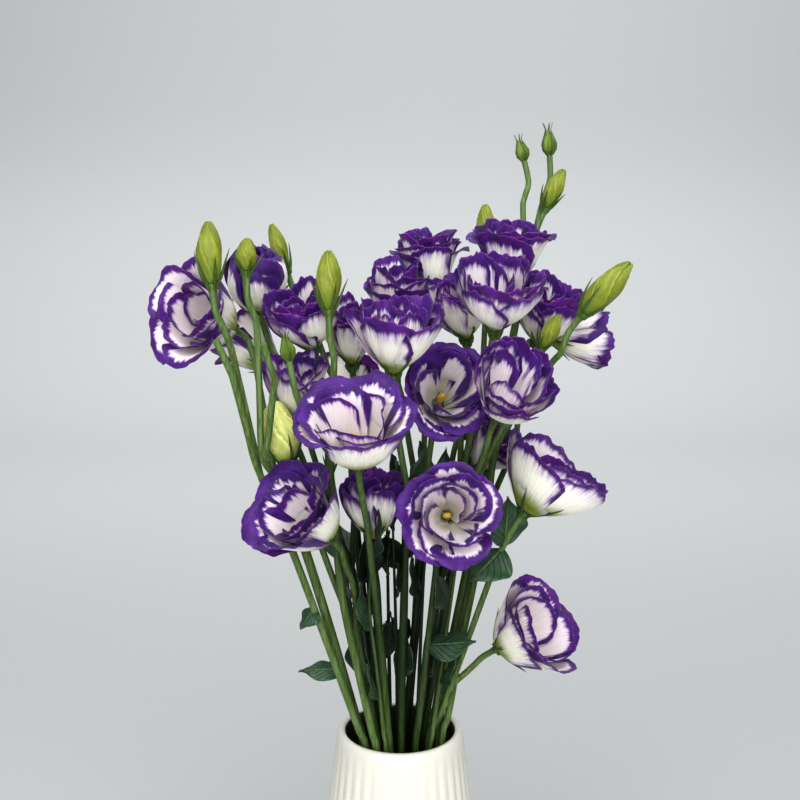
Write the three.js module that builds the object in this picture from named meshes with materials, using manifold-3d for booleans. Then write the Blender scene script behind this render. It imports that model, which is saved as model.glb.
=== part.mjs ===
// A vase of lisianthus: cut sprays of double picotee blooms and green buds, standing in water in a ribbed
// ceramic vase.
//
// Millimetres, +Z up. The origin is the middle of the vase's foot, and the viewer stands on the -Y side.
// Each bloom, each large bud and each cut spray of stems is one solid, as each is one grown piece.
// A flower is placed by the middle of its rim, the way that it faces, its radius and its depth. A spray's stems
// start upright in the vase, fan out above its mouth, are bent clear of each other and of the blooms, and end in
// the calyx that carries each flower.

import * as THREE from "three";
import { mergeVertices } from "three/addons/utils/BufferGeometryUtils.js";
import Module from "manifold-3d";

const wasm = await Module();
wasm.setup();

const V = (x, y, z) => new THREE.Vector3(x, y, z);
const { sin, cos, PI, sqrt, min, max, abs, round, floor, hypot } = Math;
const radians = THREE.MathUtils.degToRad;
const mix = THREE.MathUtils.lerp;

// Vase

const VASE_HEIGHT = 202;
const VASE_RIBS = 36;
const RIB_RELIEF = 1;
const VASE_FLOOR = 9;
const FOOT_RADIUS = 43;
const LIP_RADIUS = 35.6;
const MOUTH_RADIUS = 32.3;
// Outer radius and height, from the foot to the ribs' end under the lip.
const VASE_OUTLINE = [
  [FOOT_RADIUS, 0],
  [49.5, 12],
  [52.4, 60],
  [46.8, 130],
  [38.3, 195],
];
const VASE_INSIDE = [
  [43, VASE_FLOOR],
  [47, 60],
  [41.6, 130],
  [MOUTH_RADIUS, 196],
];
const INSIDE_SIDES = 28;
const WATER_LEVEL = 128;
const WATER_GAP = 0.3;

// Stems

const MAIN_RADIUS = 2.9;
const PEDICEL_RADIUS = 2.0;
const STEM_FOOT = 16;
const STRAIGHT_TO = 150;
const HOLE_GAP = 0.6;
const STEM_SIDES = 5;
const MOUTH_LEVEL = 196;
const LEVEL_STEP = 12;
const BUNDLE_RADIUS = 26.5;
const BUNDLE_SPACING = 8.4;
const STEM_CLEARANCE = 1.8;
const BLOOM_CLEARANCE = 2.6;
const SETTLING_ROUNDS = 260;
const NECK_ALONG_AXIS = 11;
const NECK_DOWN = 16;
const NECK_STATIONS = 3;
const STATION_BOW = 0.9;

const BRACT_LENGTH = 9;

// Flowers

const SEAT_GAP = 0.3;
const BUD_SIDES = 6;
const RECEPTACLE_LENGTH = 7;
const RECEPTACLE_RADIUS = 4;
const PETAL_THICKNESS = 1;
const SHINGLE = 1.3;
const PETAL_WAVE = 1.3;
const TIP_ROUND = 0.16;
const CUP_START = 0.1;
const SEPAL_STANDOFF = 3;
const BUD_SEPAL_STANDOFF = 3.6;
const SEPAL_THICKNESS = 1.3;

// Profiles of a petal from its base to its rim: radius and height as shares of the flower's radius and depth.
const FORMS = {
  open: [[0.09, 0], [0.52, 0.16], [0.66, 0.98], [1.0, 0.97]],
  bowl: [[0.09, 0], [0.55, 0.08], [0.86, 0.8], [1.0, 1.0]],
  cup: [[0.09, 0], [0.26, 0.17], [0.86, 0.38], [0.99, 1.0]],
  funnel: [[0.09, 0], [0.38, 0.14], [0.95, 0.5], [1.0, 1.0]],
  half: [[0.1, 0], [0.95, 0.04], [1.36, 0.76], [0.56, 1.0]],
};
// Rings of petals: how many, their share of the radius and of the depth, and half of the angle that each spans.
const OUTER_RING = { count: 5, reach: 1, rise: 1, half: 0.6, turn: 0, columns: [-1, -0.35, 0.4] };
const INNER_RING = { count: 4, reach: 0.64, rise: 1.03, half: 0.7, turn: 0.5, columns: [-1, 0.1] };
const SMALL_INNER = { count: 3, half: 0.9 };
const SMALL_BLOOM_RADIUS = 21;
const HEART_RING = { count: 3, reach: 0.34, rise: 0.98, half: 1, turn: 0.9, columns: [-1, 0.1] };

// Each bloom: the middle of its rim, the way it faces (turn from the viewer towards +X, and lift above level,
// in degrees), its radius and depth, its form and the spray that it grows on. A crown is how much longer the inner
// petals are that stand up above the rim.
const BLOOMS = [
  { name: "bloom_far_left", rim: [-116, -40, 456.5], turn: -38, lift: 22,
    radius: 28, depth: 38, form: "open", spray: "left" },
  { name: "bloom_left_dome", rim: [-83.5, 1, 484.5], turn: -5, lift: 58,
    radius: 17.5, depth: 38, form: "half", spray: "left_mid" },
  { name: "bloom_left_cup", rim: [-55, -28, 461], turn: -24, lift: 62,
    radius: 20, depth: 34, form: "cup", spray: "left_tall" },
  { name: "bloom_mid_cup", rim: [-30, 6, 453], turn: -10, lift: 72,
    radius: 18, depth: 36, form: "cup", spray: "mid_tall" },
  { name: "bloom_white_cup", rim: [-1.6, -52, 456.3], turn: 10, lift: 74,
    radius: 23.5, depth: 37, form: "cup", spray: "white" },
  { name: "bloom_back_mid", rim: [-0.5, 14, 466], turn: 4, lift: 76,
    radius: 20.5, depth: 34, form: "open", crown: 1.35, spray: "back_mid" },
  { name: "bloom_top_mid", rim: [16, 40, 486.7], turn: -30, lift: 82,
    radius: 22, depth: 34, form: "open", crown: 1.35, spray: "top_mid" },
  { name: "bloom_top_right", rim: [65.5, 30, 496], turn: 12, lift: 80,
    radius: 25.5, depth: 34, form: "open", crown: 1.14, spray: "top_right" },
  { name: "bloom_twin_left", rim: [32, 0, 467], turn: -22, lift: 62,
    radius: 18, depth: 37.6, form: "cup", spray: "twin" },
  { name: "bloom_twin_right", rim: [54, -38, 474], turn: 8, lift: 60,
    radius: 23, depth: 36, form: "cup", spray: "twin" },
  { name: "bloom_right_cup", rim: [86, -4, 464], turn: 24, lift: 64,
    radius: 20.5, depth: 36, form: "cup", spray: "right_bud" },
  { name: "bloom_far_right", rim: [123, 40, 435], turn: 98, lift: 4,
    radius: 19, depth: 34, form: "cup", spray: "right_far" },
  { name: "bloom_deep_throat", rim: [25.6, -38, 414], turn: 8, lift: 27,
    radius: 22.5, depth: 34, form: "open", spray: "throat" },
  { name: "bloom_right_rosette", rim: [60.2, -63, 424.6], turn: 17, lift: 46,
    radius: 20.5, depth: 38, form: "cup", spray: "rosette" },
  { name: "bloom_front_large", rim: [-23.2, -88, 409], turn: -5, lift: 60,
    radius: 30, depth: 35, form: "open", spray: "front_pair" },
  { name: "bloom_low_left", rim: [-57, -72, 355.5], turn: -40, lift: 38,
    radius: 28, depth: 35, form: "open", spray: "low_left" },
  { name: "bloom_low_front", rim: [26, -80, 353.7], turn: 2, lift: 16,
    radius: 26, depth: 34, form: "open", spray: "low_front" },
  { name: "bloom_inner_left", rim: [-56, -32, 425], turn: 10, lift: 74,
    radius: 17, depth: 34, form: "cup", spray: "left_tall" },
  { name: "bloom_behind_stems", rim: [-15, -26, 360], turn: 0, lift: 84,
    radius: 18, depth: 36, form: "cup", spray: "front_pair" },
  { name: "bloom_right_goblet", rim: [92, -18, 371], turn: 80, lift: 57,
    radius: 31, depth: 39, form: "funnel", spray: "right_low" },
  { name: "bloom_low_right", rim: [83.5, -28, 277.7], turn: 58, lift: 35,
    radius: 28, depth: 36, form: "bowl", spray: "right_low" },
  { name: "bloom_inner_right", rim: [61.4, 13, 379], turn: 60, lift: 44,
    radius: 18, depth: 32, form: "cup", spray: "rosette" },
  { name: "bloom_back_left", rim: [-99, 40, 434], turn: -120, lift: 34,
    radius: 20, depth: 33, form: "open", spray: "back_left" },
  { name: "bloom_rear_left", rim: [-42, 74, 402], turn: -160, lift: 36,
    radius: 26, depth: 35, form: "open", spray: "back_left" },
  { name: "bloom_rear_right", rim: [44, 78, 388], turn: 165, lift: 30,
    radius: 27, depth: 35, form: "open", spray: "back_mid" },
];

// Each bud: the foot of the bud, the way it points, its length and radius. Small ones are still in green sepals
// and are one piece with their spray. A stub is the cut end of a stem whose flower was taken off.
const BUDS = [
  { name: "bud_left_tall", foot: [-94, -72, 470], turn: -40, lift: 84, length: 30,
    radius: 6.3, spray: "left" },
  { name: "bud_left_small", foot: [-78, -62, 476], turn: 10, lift: 84, length: 16,
    radius: 5, spray: "left_mid" },
  { name: "bud_left_behind", foot: [-67, 26, 474], turn: -70, lift: 70, length: 27,
    radius: 4.8, spray: "mid_tall" },
  { name: "bud_mid_tall", foot: [-37, -54, 456], turn: -20, lift: 86, length: 29.5,
    radius: 6.5, spray: "mid_front" },
  { name: "bud_low_left", foot: [-61, -40, 373], turn: -60, lift: 74, length: 33,
    radius: 10, spray: "low_left" },
  { name: "bud_top_pale", foot: [55, 64, 484], turn: -90, lift: 82, length: 28,
    radius: 6, spray: "top_right" },
  { name: "bud_far_right", foot: [99, -34, 453], turn: 62, lift: 50, length: 35,
    radius: 7, spray: "right_bud" },
  { name: "bud_right_small", foot: [78, -22, 433], turn: 50, lift: 62, length: 20,
    radius: 4.7, spray: "right_far" },
  { name: "bud_top_leaning", foot: [88, 50, 510.5], turn: 60, lift: 66, length: 24,
    radius: 5.2, spray: "tall_buds" },
];
const GREEN_BUDS = [
  { name: "green_bud_first", foot: [75.4, 60, 538.9], turn: -80, lift: 74, length: 12.5,
    radius: 4, spray: "tall_buds" },
  { name: "green_bud_second", foot: [90.6, 58, 542], turn: -60, lift: 84, length: 15,
    radius: 4.4, spray: "tall_buds" },
  { name: "green_bud_low", foot: [-58, -52, 429], turn: -70, lift: 80, length: 13,
    radius: 3.9, spray: "mid_front" },
];
const STUBS = [
  { name: "stub_left", foot: [-95, -74, 448], turn: -60, lift: 66, spray: "left" },
  { name: "stub_left_mid", foot: [-70, -72, 446], turn: -40, lift: 74, spray: "left_mid" },
];

// Height at which each spray's stem forks.
const FORKS = {
  left: 338,
  left_mid: 352,
  left_tall: 330,
  mid_tall: 400,
  mid_front: 370,
  white: 300,
  back_mid: 318,
  top_mid: 330,
  top_right: 400,
  twin: 360,
  right_bud: 392,
  right_far: 330,
  throat: 300,
  rosette: 300,
  front_pair: 268,
  low_left: 270,
  low_front: 260,
  right_low: 226,
  back_left: 300,
  tall_buds: 468,
};

// Each leaf: the flower whose stem it grows on, its height, the way it points, its length, its half width and how
// far its tip drops.
const LEAVES = [
  { on: "bloom_right_goblet", height: 318, turn: 12, lift: 74, length: 30, half: 10.5, droop: 2 },
  { on: "bloom_right_goblet", height: 316, turn: -54, lift: -38, length: 28, half: 12, droop: 4 },
  { on: "bloom_low_front", height: 262, turn: 76, lift: 6, length: 29, half: 8.5, droop: 4 },
  { on: "bloom_left_dome", height: 244, turn: -82, lift: 6, length: 24, half: 5.5, droop: -4 },
  { on: "bloom_far_left", height: 286, turn: -70, lift: -60, length: 13, half: 5.5, droop: 2 },
  { on: "bloom_rear_left", height: 300, turn: -150, lift: 20, length: 36, half: 11, droop: 9 },
  { on: "bloom_rear_right", height: 336, turn: 170, lift: 24, length: 38, half: 9, droop: 10 },
];

// Colours, as sRGB values

const MATERIALS = {
  vase: new THREE.MeshStandardMaterial({ color: 0xf1f0ea, roughness: 0.32, metalness: 0 }),
  water: new THREE.MeshStandardMaterial({
    color: 0xdfe8e6, roughness: 0.05, metalness: 0, transparent: true, opacity: 0.4,
  }),
  stem: new THREE.MeshStandardMaterial({ color: 0x47692f, roughness: 0.55, metalness: 0 }),
  bud: new THREE.MeshStandardMaterial({ color: 0xa6bf4e, roughness: 0.5, metalness: 0 }),
  petal: new THREE.MeshStandardMaterial({ color: 0xa58fc8, roughness: 0.6, metalness: 0 }),
};

// Helpers for solids

const facing = (turn, lift) => {
  const t = radians(turn);
  const l = radians(lift);
  return V(cos(l) * sin(t), -cos(l) * cos(t), sin(l));
};

function solidOf(geometry) {
  const g = geometry.index ? geometry.toNonIndexed() : geometry;
  g.deleteAttribute("normal");
  g.deleteAttribute("uv");
  const merged = mergeVertices(g, 1e-3);
  const mesh = new wasm.Mesh({
    numProp: 3,
    vertProperties: merged.attributes.position.array,
    triVerts: new Uint32Array(merged.index.array),
  });
  return new wasm.Manifold(mesh);
}

function geometryOf(solid) {
  const mesh = solid.getMesh();
  const positions = new Float32Array(mesh.numVert * 3);
  for (let i = 0; i < mesh.numVert; i++) {
    const start = i * mesh.numProp;
    positions.set(mesh.vertProperties.subarray(start, start + 3), i * 3);
  }
  const geometry = new THREE.BufferGeometry();
  geometry.setAttribute("position", new THREE.BufferAttribute(positions, 3));
  geometry.setIndex(new THREE.BufferAttribute(new Uint32Array(mesh.triVerts), 1));
  geometry.computeVertexNormals();
  return geometry;
}

// A fused node keeps only the body that holds together: a loose scrap of a cut is dropped.
function largestBody(solid) {
  return solid.decompose().reduce((a, b) => (b.volume() > a.volume() ? b : a));
}

function geometryFrom(points, triangles) {
  const geometry = new THREE.BufferGeometry().setFromPoints(points);
  geometry.setIndex(triangles.flat());
  return geometry;
}

// A lathe about +Z from [radius, height] pairs that start and end on the axis.
function latheZ(profile, sides) {
  const points = profile.map(([r, z]) => new THREE.Vector2(r, z));
  return new THREE.LatheGeometry(points, sides).rotateX(PI / 2);
}

// Turns a solid's +Z to a direction and moves its origin to a place.
function placed(geometry, origin, axis) {
  const turn = new THREE.Quaternion().setFromUnitVectors(V(0, 0, 1), axis);
  return geometry.applyQuaternion(turn).translate(origin.x, origin.y, origin.z);
}

// A path whose frames are taken at its own points.
class StationPath extends THREE.CatmullRomCurve3 {
  getTangentAt(u, target) {
    return this.getTangent(u, target);
  }
}

// A tube with a ring of its own radius at each of its points.
function tube(points, radii, sides) {
  const frames = new StationPath(points).computeFrenetFrames(points.length - 1, false);
  const ring = [];
  points.forEach((p, station) => {
    for (let i = 0; i < sides; i++) {
      const a = (2 * PI * i) / sides;
      const corner = p.clone().addScaledVector(frames.normals[station], radii[station] * cos(a));
      ring.push(corner.addScaledVector(frames.binormals[station], radii[station] * sin(a)));
    }
  });
  const triangles = [];
  for (let low = 0; low + sides < ring.length; low += sides) {
    for (let i = 0; i < sides; i++) {
      const j = (i + 1) % sides;
      triangles.push([low + i, low + j, low + sides + j], [low + i, low + sides + j, low + sides + i]);
    }
  }
  const top = ring.length - sides;
  for (let i = 1; i + 1 < sides; i++) triangles.push([0, i + 1, i], [top, top + i, top + i + 1]);
  return solidOf(geometryFrom(ring, triangles));
}

// A thin blade between two faces. rows holds the number of points in each row; at(u, v) is the middle surface for
// u from -1 to 1 across and v from 0 to 1 along. Both faces are split into triangles alike.
function blade(rows, at, thickness) {
  const middle = [];
  const uv = [];
  rows.forEach((n, row) => {
    const v = row / (rows.length - 1);
    for (let i = 0; i < n; i++) uv.push([n === 1 ? 0 : (2 * i) / (n - 1) - 1, v]);
  });
  const step = 0.02;
  for (const [u, v] of uv) {
    const across = at(min(1, u + step), v).sub(at(max(-1, u - step), v));
    const along = at(u, min(1, v + step)).sub(at(u, max(0, v - step)));
    const normal = across.cross(along).normalize();
    middle.push([at(u, v), normal]);
  }
  const points = [
    ...middle.map(([p, n]) => p.clone().addScaledVector(n, thickness / 2)),
    ...middle.map(([p, n]) => p.clone().addScaledVector(n, -thickness / 2)),
  ];
  const count = middle.length;
  const face = [];
  const starts = rows.map((_, row) => rows.slice(0, row).reduce((a, b) => a + b, 0));
  for (let row = 0; row + 1 < rows.length; row++) {
    let i = 0;
    let j = 0;
    const low = rows[row];
    const high = rows[row + 1];
    while (i < low - 1 || j < high - 1) {
      const a = starts[row] + i;
      const b = starts[row + 1] + j;
      const lowNext = low > 1 ? (i + 1) / (low - 1) : 2;
      const highNext = high > 1 ? (j + 1) / (high - 1) : 2;
      if (lowNext <= highNext) {
        face.push([a, a + 1, b]);
        i++;
      } else {
        face.push([a, b + 1, b]);
        j++;
      }
    }
  }
  const last = rows.length - 1;
  const loop = [];
  for (let i = 0; i < rows[0]; i++) loop.push(i);
  for (let row = 1; row <= last; row++) loop.push(starts[row] + rows[row] - 1);
  for (let i = rows[last] - 2; i >= 0; i--) loop.push(starts[last] + i);
  for (let row = last - 1; row > 0; row--) loop.push(starts[row]);
  const triangles = face.map(([a, b, c]) => [a, b, c]);
  face.forEach(([a, b, c]) => triangles.push([a + count, c + count, b + count]));
  loop.forEach((a, i) => {
    const b = loop[(i + 1) % loop.length];
    triangles.push([a, a + count, b + count], [a, b + count, b]);
  });
  return geometryFrom(points, triangles);
}

// Places of the flowers

const bezier = ([a, b, c, d], t) => {
  const s = 1 - t;
  return [0, 1].map((k) => s ** 3 * a[k] + 3 * s * s * t * b[k] + 3 * s * t * t * c[k] + t ** 3 * d[k]);
};

for (const bloom of BLOOMS) {
  bloom.axis = facing(bloom.turn, bloom.lift);
  bloom.base = V(...bloom.rim).addScaledVector(bloom.axis, -bloom.depth);
}
for (const bud of [...BUDS, ...GREEN_BUDS, ...STUBS]) {
  bud.axis = facing(bud.turn, bud.lift);
  bud.base = V(...bud.foot);
}

// Balls that stand for a flower while stems are bent clear of it.
function ballsOf(flower) {
  const along = (share, size, top = Infinity) => ({
    centre: flower.base.clone().addScaledVector(flower.axis, share),
    radius: size,
    flower,
    top,
  });
  if (flower.depth) {
    const { depth: d, radius: r } = flower;
    const top = flower.rim[2] + r * cos(radians(flower.lift)) + 3;
    const cup = [along(d * 0.2, r * 0.5), along(d * 0.5, r * 0.86), along(d * 0.84, r * 0.98, top)];
    return flower.crown ? [...cup, along(d * 1.12, r * 0.62)] : cup;
  }
  if (flower.length) {
    const { length: l, radius: r } = flower;
    return [along(l * 0.3, r * 1.1), along(l * 0.6, r)];
  }
  return [];
}

// Routes of the stems

const flowers = [...BLOOMS, ...BUDS, ...GREEN_BUDS, ...STUBS];
const sprayNames = [...new Set(flowers.map((f) => f.spray))];
const balls = flowers.flatMap(ballsOf);
const levelOf = (z) => (z - MOUTH_LEVEL) / LEVEL_STEP;

// A route holds a level's x and y for each level from the mouth to the start of its neck, then the neck's own.
const routes = flowers.map((flower) => {
  const down = V(0, 0, MOUTH_LEVEL).sub(flower.base).normalize();
  const tail = min(NECK_DOWN, (flower.base.z - MOUTH_LEVEL) * 0.6);
  const neckStart = flower.base.clone()
    .addScaledVector(flower.axis, -NECK_ALONG_AXIS).addScaledVector(down, tail);
  const free = max(1, floor(levelOf(neckStart.z)));
  return { flower, neckStart, down, free, fork: levelOf(FORKS[flower.spray] ?? MOUTH_LEVEL), xy: [] };
});

function neckPoint(route, t) {
  const { flower, neckStart, down } = route;
  const reach = neckStart.distanceTo(flower.base) * 0.42;
  const a = neckStart;
  const b = a.clone().addScaledVector(down, -reach);
  const d = flower.base.clone().addScaledVector(flower.axis, -RECEPTACLE_LENGTH);
  const c = d.clone().addScaledVector(flower.axis, -reach);
  const s = 1 - t;
  return a
    .clone()
    .multiplyScalar(s ** 3)
    .addScaledVector(b, 3 * s * s * t)
    .addScaledVector(c, 3 * s * t * t)
    .addScaledVector(d, t ** 3);
}

// A neck is fixed too, so it stands as a row of small balls among those of the flowers.
for (const route of routes) {
  const { flower } = route;
  for (let k = 0; k <= 5; k++) {
    balls.push({ centre: neckPoint(route, k / 5), radius: PEDICEL_RADIUS, flower, neck: true });
  }
}

// Pushes two level points apart until they are the needed distance from each other.
function pushApart(p, q, needed, shareP, shareQ) {
  const dx = p[0] - q[0];
  const dy = p[1] - q[1];
  const gap = hypot(dx, dy);
  if (gap >= needed) return;
  const push = (needed - gap) / max(gap, 1e-6);
  p[0] += dx * push * shareP;
  p[1] += dy * push * shareP;
  q[0] -= dx * push * shareQ;
  q[1] -= dy * push * shareQ;
}

// The bundle in the mouth: one place for each spray, spread evenly by the same pushing.
const mouths = sprayNames.map((spray) => {
  const own = routes.filter((r) => r.flower.spray === spray);
  const mean = (k) => own.reduce((sum, r) => sum + r.neckStart.getComponent(k), 0) / own.length;
  return [mean(0) * 0.3, mean(1) * 0.42];
});
for (let round = 0; round < SETTLING_ROUNDS; round++) {
  for (let i = 0; i < mouths.length; i++) {
    for (let j = i + 1; j < mouths.length; j++) pushApart(mouths[i], mouths[j], BUNDLE_SPACING, 0.5, 0.5);
  }
  for (const m of mouths) {
    const out = hypot(...m);
    if (out > BUNDLE_RADIUS) {
      m[0] *= BUNDLE_RADIUS / out;
      m[1] *= BUNDLE_RADIUS / out;
    }
  }
}

for (const route of routes) {
  const mouth = mouths[sprayNames.indexOf(route.flower.spray)];
  const span = levelOf(route.neckStart.z);
  for (let level = 0; level <= route.free; level++) {
    const t = level / span;
    const ease = t * (1.15 - 0.15 * t);
    route.xy.push([mix(mouth[0], route.neckStart.x, ease), mix(mouth[1], route.neckStart.y, ease)]);
  }
  // The neck is fixed. Where it rises through higher levels, it is a thing that others keep clear of.
  for (let level = route.free + 1; levelOf(route.flower.base.z) > level; level++) {
    const height = MOUTH_LEVEL + level * LEVEL_STEP;
    let nearest = neckPoint(route, 0);
    for (let k = 1; k <= 20; k++) {
      const p = neckPoint(route, k / 20);
      if (abs(p.z - height) < abs(nearest.z - height)) nearest = p;
    }
    route.xy.push([nearest.x, nearest.y]);
  }
  route.radiusAt = (level) => (level <= route.fork ? MAIN_RADIUS : PEDICEL_RADIUS);
}

const topLevel = max(...routes.map((r) => r.xy.length));
const slopeOf = (xy, level) => {
  const low = xy[max(0, level - 1)];
  const high = xy[min(xy.length - 1, level + 1)];
  return hypot(high[0] - low[0], high[1] - low[1]) / (2 * LEVEL_STEP);
};

for (let round = 0; round < SETTLING_ROUNDS; round++) {
  // The stems are straightened less and less, so that the last rounds only push them clear.
  const ease = mix(0.34, 0.04, round / SETTLING_ROUNDS);
  for (const { xy, free, neckStart } of routes) {
    for (let level = 1; level < free; level++) {
      for (const k of [0, 1]) xy[level][k] += ease * ((xy[level - 1][k] + xy[level + 1][k]) / 2 - xy[level][k]);
    }
    const end = xy[free];
    const below = xy[free - 1];
    end[0] += ease * ((below[0] + neckStart.x) / 2 - end[0]);
    end[1] += ease * ((below[1] + neckStart.y) / 2 - end[1]);
  }
  for (let level = 1; level < topLevel; level++) {
    const height = MOUTH_LEVEL + level * LEVEL_STEP;
    for (let i = 0; i < routes.length; i++) {
      const a = routes[i];
      if (level >= a.xy.length) continue;
      const moveA = level <= a.free ? 1 : 0;
      const stretchA = sqrt(1 + slopeOf(a.xy, level) ** 2);
      for (let j = i + 1; j < routes.length; j++) {
        const b = routes[j];
        if (level >= b.xy.length || a.flower.spray === b.flower.spray) continue;
        const moveB = level <= b.free ? 1 : 0;
        if (moveA + moveB === 0) continue;
        const stretch = max(stretchA, sqrt(1 + slopeOf(b.xy, level) ** 2));
        const needed = (a.radiusAt(level) + b.radiusAt(level) + STEM_CLEARANCE) * stretch;
        const share = 0.5 / (moveA + moveB);
        pushApart(a.xy[level], b.xy[level], needed, moveA * share, moveB * share);
      }
      if (!moveA) continue;
      for (const ball of balls) {
        const rise = abs(height - ball.centre.z);
        if (ball.flower === a.flower || rise >= ball.radius + 4 || height > ball.top) continue;
        if (ball.neck && ball.flower.spray === a.flower.spray) continue;
        const reach = ball.neck ? ball.radius : sqrt(max(0, ball.radius ** 2 - rise ** 2));
        const needed = reach + (a.radiusAt(level) + BLOOM_CLEARANCE) * stretchA;
        pushApart(a.xy[level], [ball.centre.x, ball.centre.y], needed, 0.6, 0);
      }
    }
  }
  for (const spray of sprayNames) {
    const own = routes.filter((r) => r.flower.spray === spray);
    if (own.length < 2) continue;
    for (let level = 0; level <= own[0].fork; level++) {
      const joined = own.filter((r) => level <= r.free);
      for (const k of [0, 1]) {
        const mean = joined.reduce((sum, r) => sum + r.xy[level][k], 0) / joined.length;
        joined.forEach((r) => (r.xy[level][k] = mean));
      }
    }
  }
}

const levelPoint = (route, level) => V(...route.xy[level], MOUTH_LEVEL + level * LEVEL_STEP);
const footPoint = (route, z) => V(...route.xy[0], z);

// Leaves out the points that lie within a small bow of the straight line past them.
function fewer(points) {
  if (points.length < 3) return points;
  const line = new THREE.Line3(points[0], points.at(-1));
  const bow = points.map((p) => line.closestPointToPoint(p, true, V()).distanceTo(p));
  const worst = bow.indexOf(max(...bow));
  if (bow[worst] < STATION_BOW) return [points[0], points.at(-1)];
  return [...fewer(points.slice(0, worst + 1)).slice(0, -1), ...fewer(points.slice(worst))];
}

// A stem from its first points up through the levels and the neck, ending in the seat that carries the flower.
function stemSolid(route, start, level, radiusBelow) {
  const points = [...start];
  for (let i = level; i <= route.free; i++) points.push(levelPoint(route, i));
  if (points.length > 1 && points.at(-1).distanceTo(route.neckStart) < LEVEL_STEP * 0.5) points.pop();
  for (let k = 0; k <= NECK_STATIONS; k++) points.push(neckPoint(route, k / NECK_STATIONS));
  const path = fewer(points);
  const forkHeight = MOUTH_LEVEL + route.fork * LEVEL_STEP;
  const radii = path.map((p) => (p.z <= forkHeight ? radiusBelow : PEDICEL_RADIUS));
  if (GREEN_BUDS.includes(route.flower)) {
    path.push(route.flower.base.clone().addScaledVector(route.flower.axis, 1.5));
    radii.push(PEDICEL_RADIUS);
  } else if (!STUBS.includes(route.flower)) {
    path.push(route.flower.base.clone().addScaledVector(route.flower.axis, -SEAT_GAP));
    radii.push(seatRadius(route.flower));
  }
  return tube(path, radii, STEM_SIDES);
}
const seatRadius = (flower) => (flower.depth ? RECEPTACLE_RADIUS : max(2.6, flower.radius * 0.5));

// Green parts

// A slim, three-sided tapering needle along a curve, for sepals and bracts.
function needle(at, width, outward, steps) {
  const points = [];
  const triangles = [[0, 2, 1]];
  for (let k = 0; k < steps; k++) {
    const t = k / steps;
    const p = at(t);
    const along = at(min(1, t + 0.05)).sub(at(max(0, t - 0.05))).normalize();
    const out = outward.clone().addScaledVector(along, -outward.dot(along)).normalize();
    const side = along.clone().cross(out);
    const w = width * (1 - 0.45 * t);
    points.push(p.clone().addScaledVector(side, w));
    points.push(p.clone().addScaledVector(side, -w));
    points.push(p.clone().addScaledVector(out, SEPAL_THICKNESS));
    if (k) {
      const b = 3 * (k - 1);
      const t3 = b + 3;
      for (const [i, j] of [[0, 1], [1, 2], [2, 0]]) {
        triangles.push([b + i, b + j, t3 + j], [b + i, t3 + j, t3 + i]);
      }
    }
  }
  points.push(at(1));
  const b = 3 * (steps - 1);
  const tip = points.length - 1;
  for (const [i, j] of [[0, 1], [1, 2], [2, 0]]) triangles.push([b + i, b + j, tip]);
  return geometryFrom(points, triangles);
}

// Five narrow sepals that spread from the foot of a flower.
function calyx(flower) {
  const { base, axis } = flower;
  const bloom = Boolean(flower.depth);
  const seat = seatRadius(flower) * 0.45;
  const height = bloom ? flower.depth * 0.3 : min(flower.length * 0.34, 11);
  const spread = bloom ? skinRadius(flower, height) + SEPAL_STANDOFF : flower.radius + BUD_SEPAL_STANDOFF;
  const solids = [];
  for (let k = 0; k < 5; k++) {
    const a = (2 * PI * k) / 5 + 0.3;
    const outward = V(cos(a), sin(a), 0);
    const at = (t) => outward.clone().multiplyScalar(mix(seat, spread, t)).setZ(mix(-3.4, height, t));
    solids.push(solidOf(placed(needle(at, bloom ? 1.7 : 1.3, outward, 1), base, axis)));
  }
  return solids;
}

// Outer radius of a bloom's cup at a height above its foot.
function skinRadius(bloom, height) {
  let widest = 0;
  for (let k = 0; k <= 30; k++) {
    const [r, z] = bezier(FORMS[bloom.form], k / 30);
    if (z * bloom.depth < height) widest = max(widest, r * bloom.radius);
  }
  return widest + SHINGLE;
}

// A spindle that is round at its foot and pointed at its tip.
const BUD_OUTLINE = [
  [0, 0],
  [0.46, 0],
  [0.86, 0.16],
  [1, 0.38],
  [0.84, 0.64],
  [0.42, 0.9],
  [0, 1],
];
function budGeometry({ base, axis, length, radius }, sides) {
  const profile = BUD_OUTLINE.map(([r, z]) => [r * radius, z * length]);
  return placed(latheZ(profile, sides), base, axis);
}

// A young bud is wrapped in sepals whose points stand out past its tip.
function greenBud(bud) {
  const { base, axis, length, radius } = bud;
  const shoulder = [[radius, length * 0.4], [radius * 0.5, length * 0.92]];
  const profile = [[0, -0.8], [radius * 0.6, 0], ...shoulder, [0, length]];
  const solids = [solidOf(placed(latheZ(profile, 5), base, axis))];
  for (let k = 0; k < 5; k++) {
    const a = (2 * PI * (k + 0.5)) / 5;
    const outward = V(cos(a), sin(a), 0);
    const at = (t) => outward.clone().multiplyScalar(radius * mix(0.7, 0.42, t)).setZ(length * mix(0.3, 1.2, t));
    solids.push(solidOf(placed(needle(at, 1.3, outward, 1), base, axis)));
  }
  return solids;
}

// An oval leaf with a folded rib, from a point on the stem.
function leafSolid(leaf) {
  const route = routes.find((r) => r.flower.name === leaf.on);
  const level = levelOf(leaf.height);
  const low = levelPoint(route, floor(level));
  const high = levelPoint(route, floor(level) + 1);
  const root = low.lerp(high, level - floor(level));
  const along = facing(leaf.turn, leaf.lift);
  const side = V(cos(radians(leaf.turn)), sin(radians(leaf.turn)), 0);
  const up = side.clone().cross(along);
  const at = (u, v) => {
    const width = leaf.half * (0.16 + 0.9 * sin(PI * v ** 0.8));
    return root
      .clone()
      .addScaledVector(along, leaf.length * v)
      .addScaledVector(side, width * u)
      .addScaledVector(up, width * 0.28 * abs(u) - leaf.droop * v * v);
  };
  return solidOf(blade([2, 3, 3, 1], at, 0.9));
}

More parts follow.
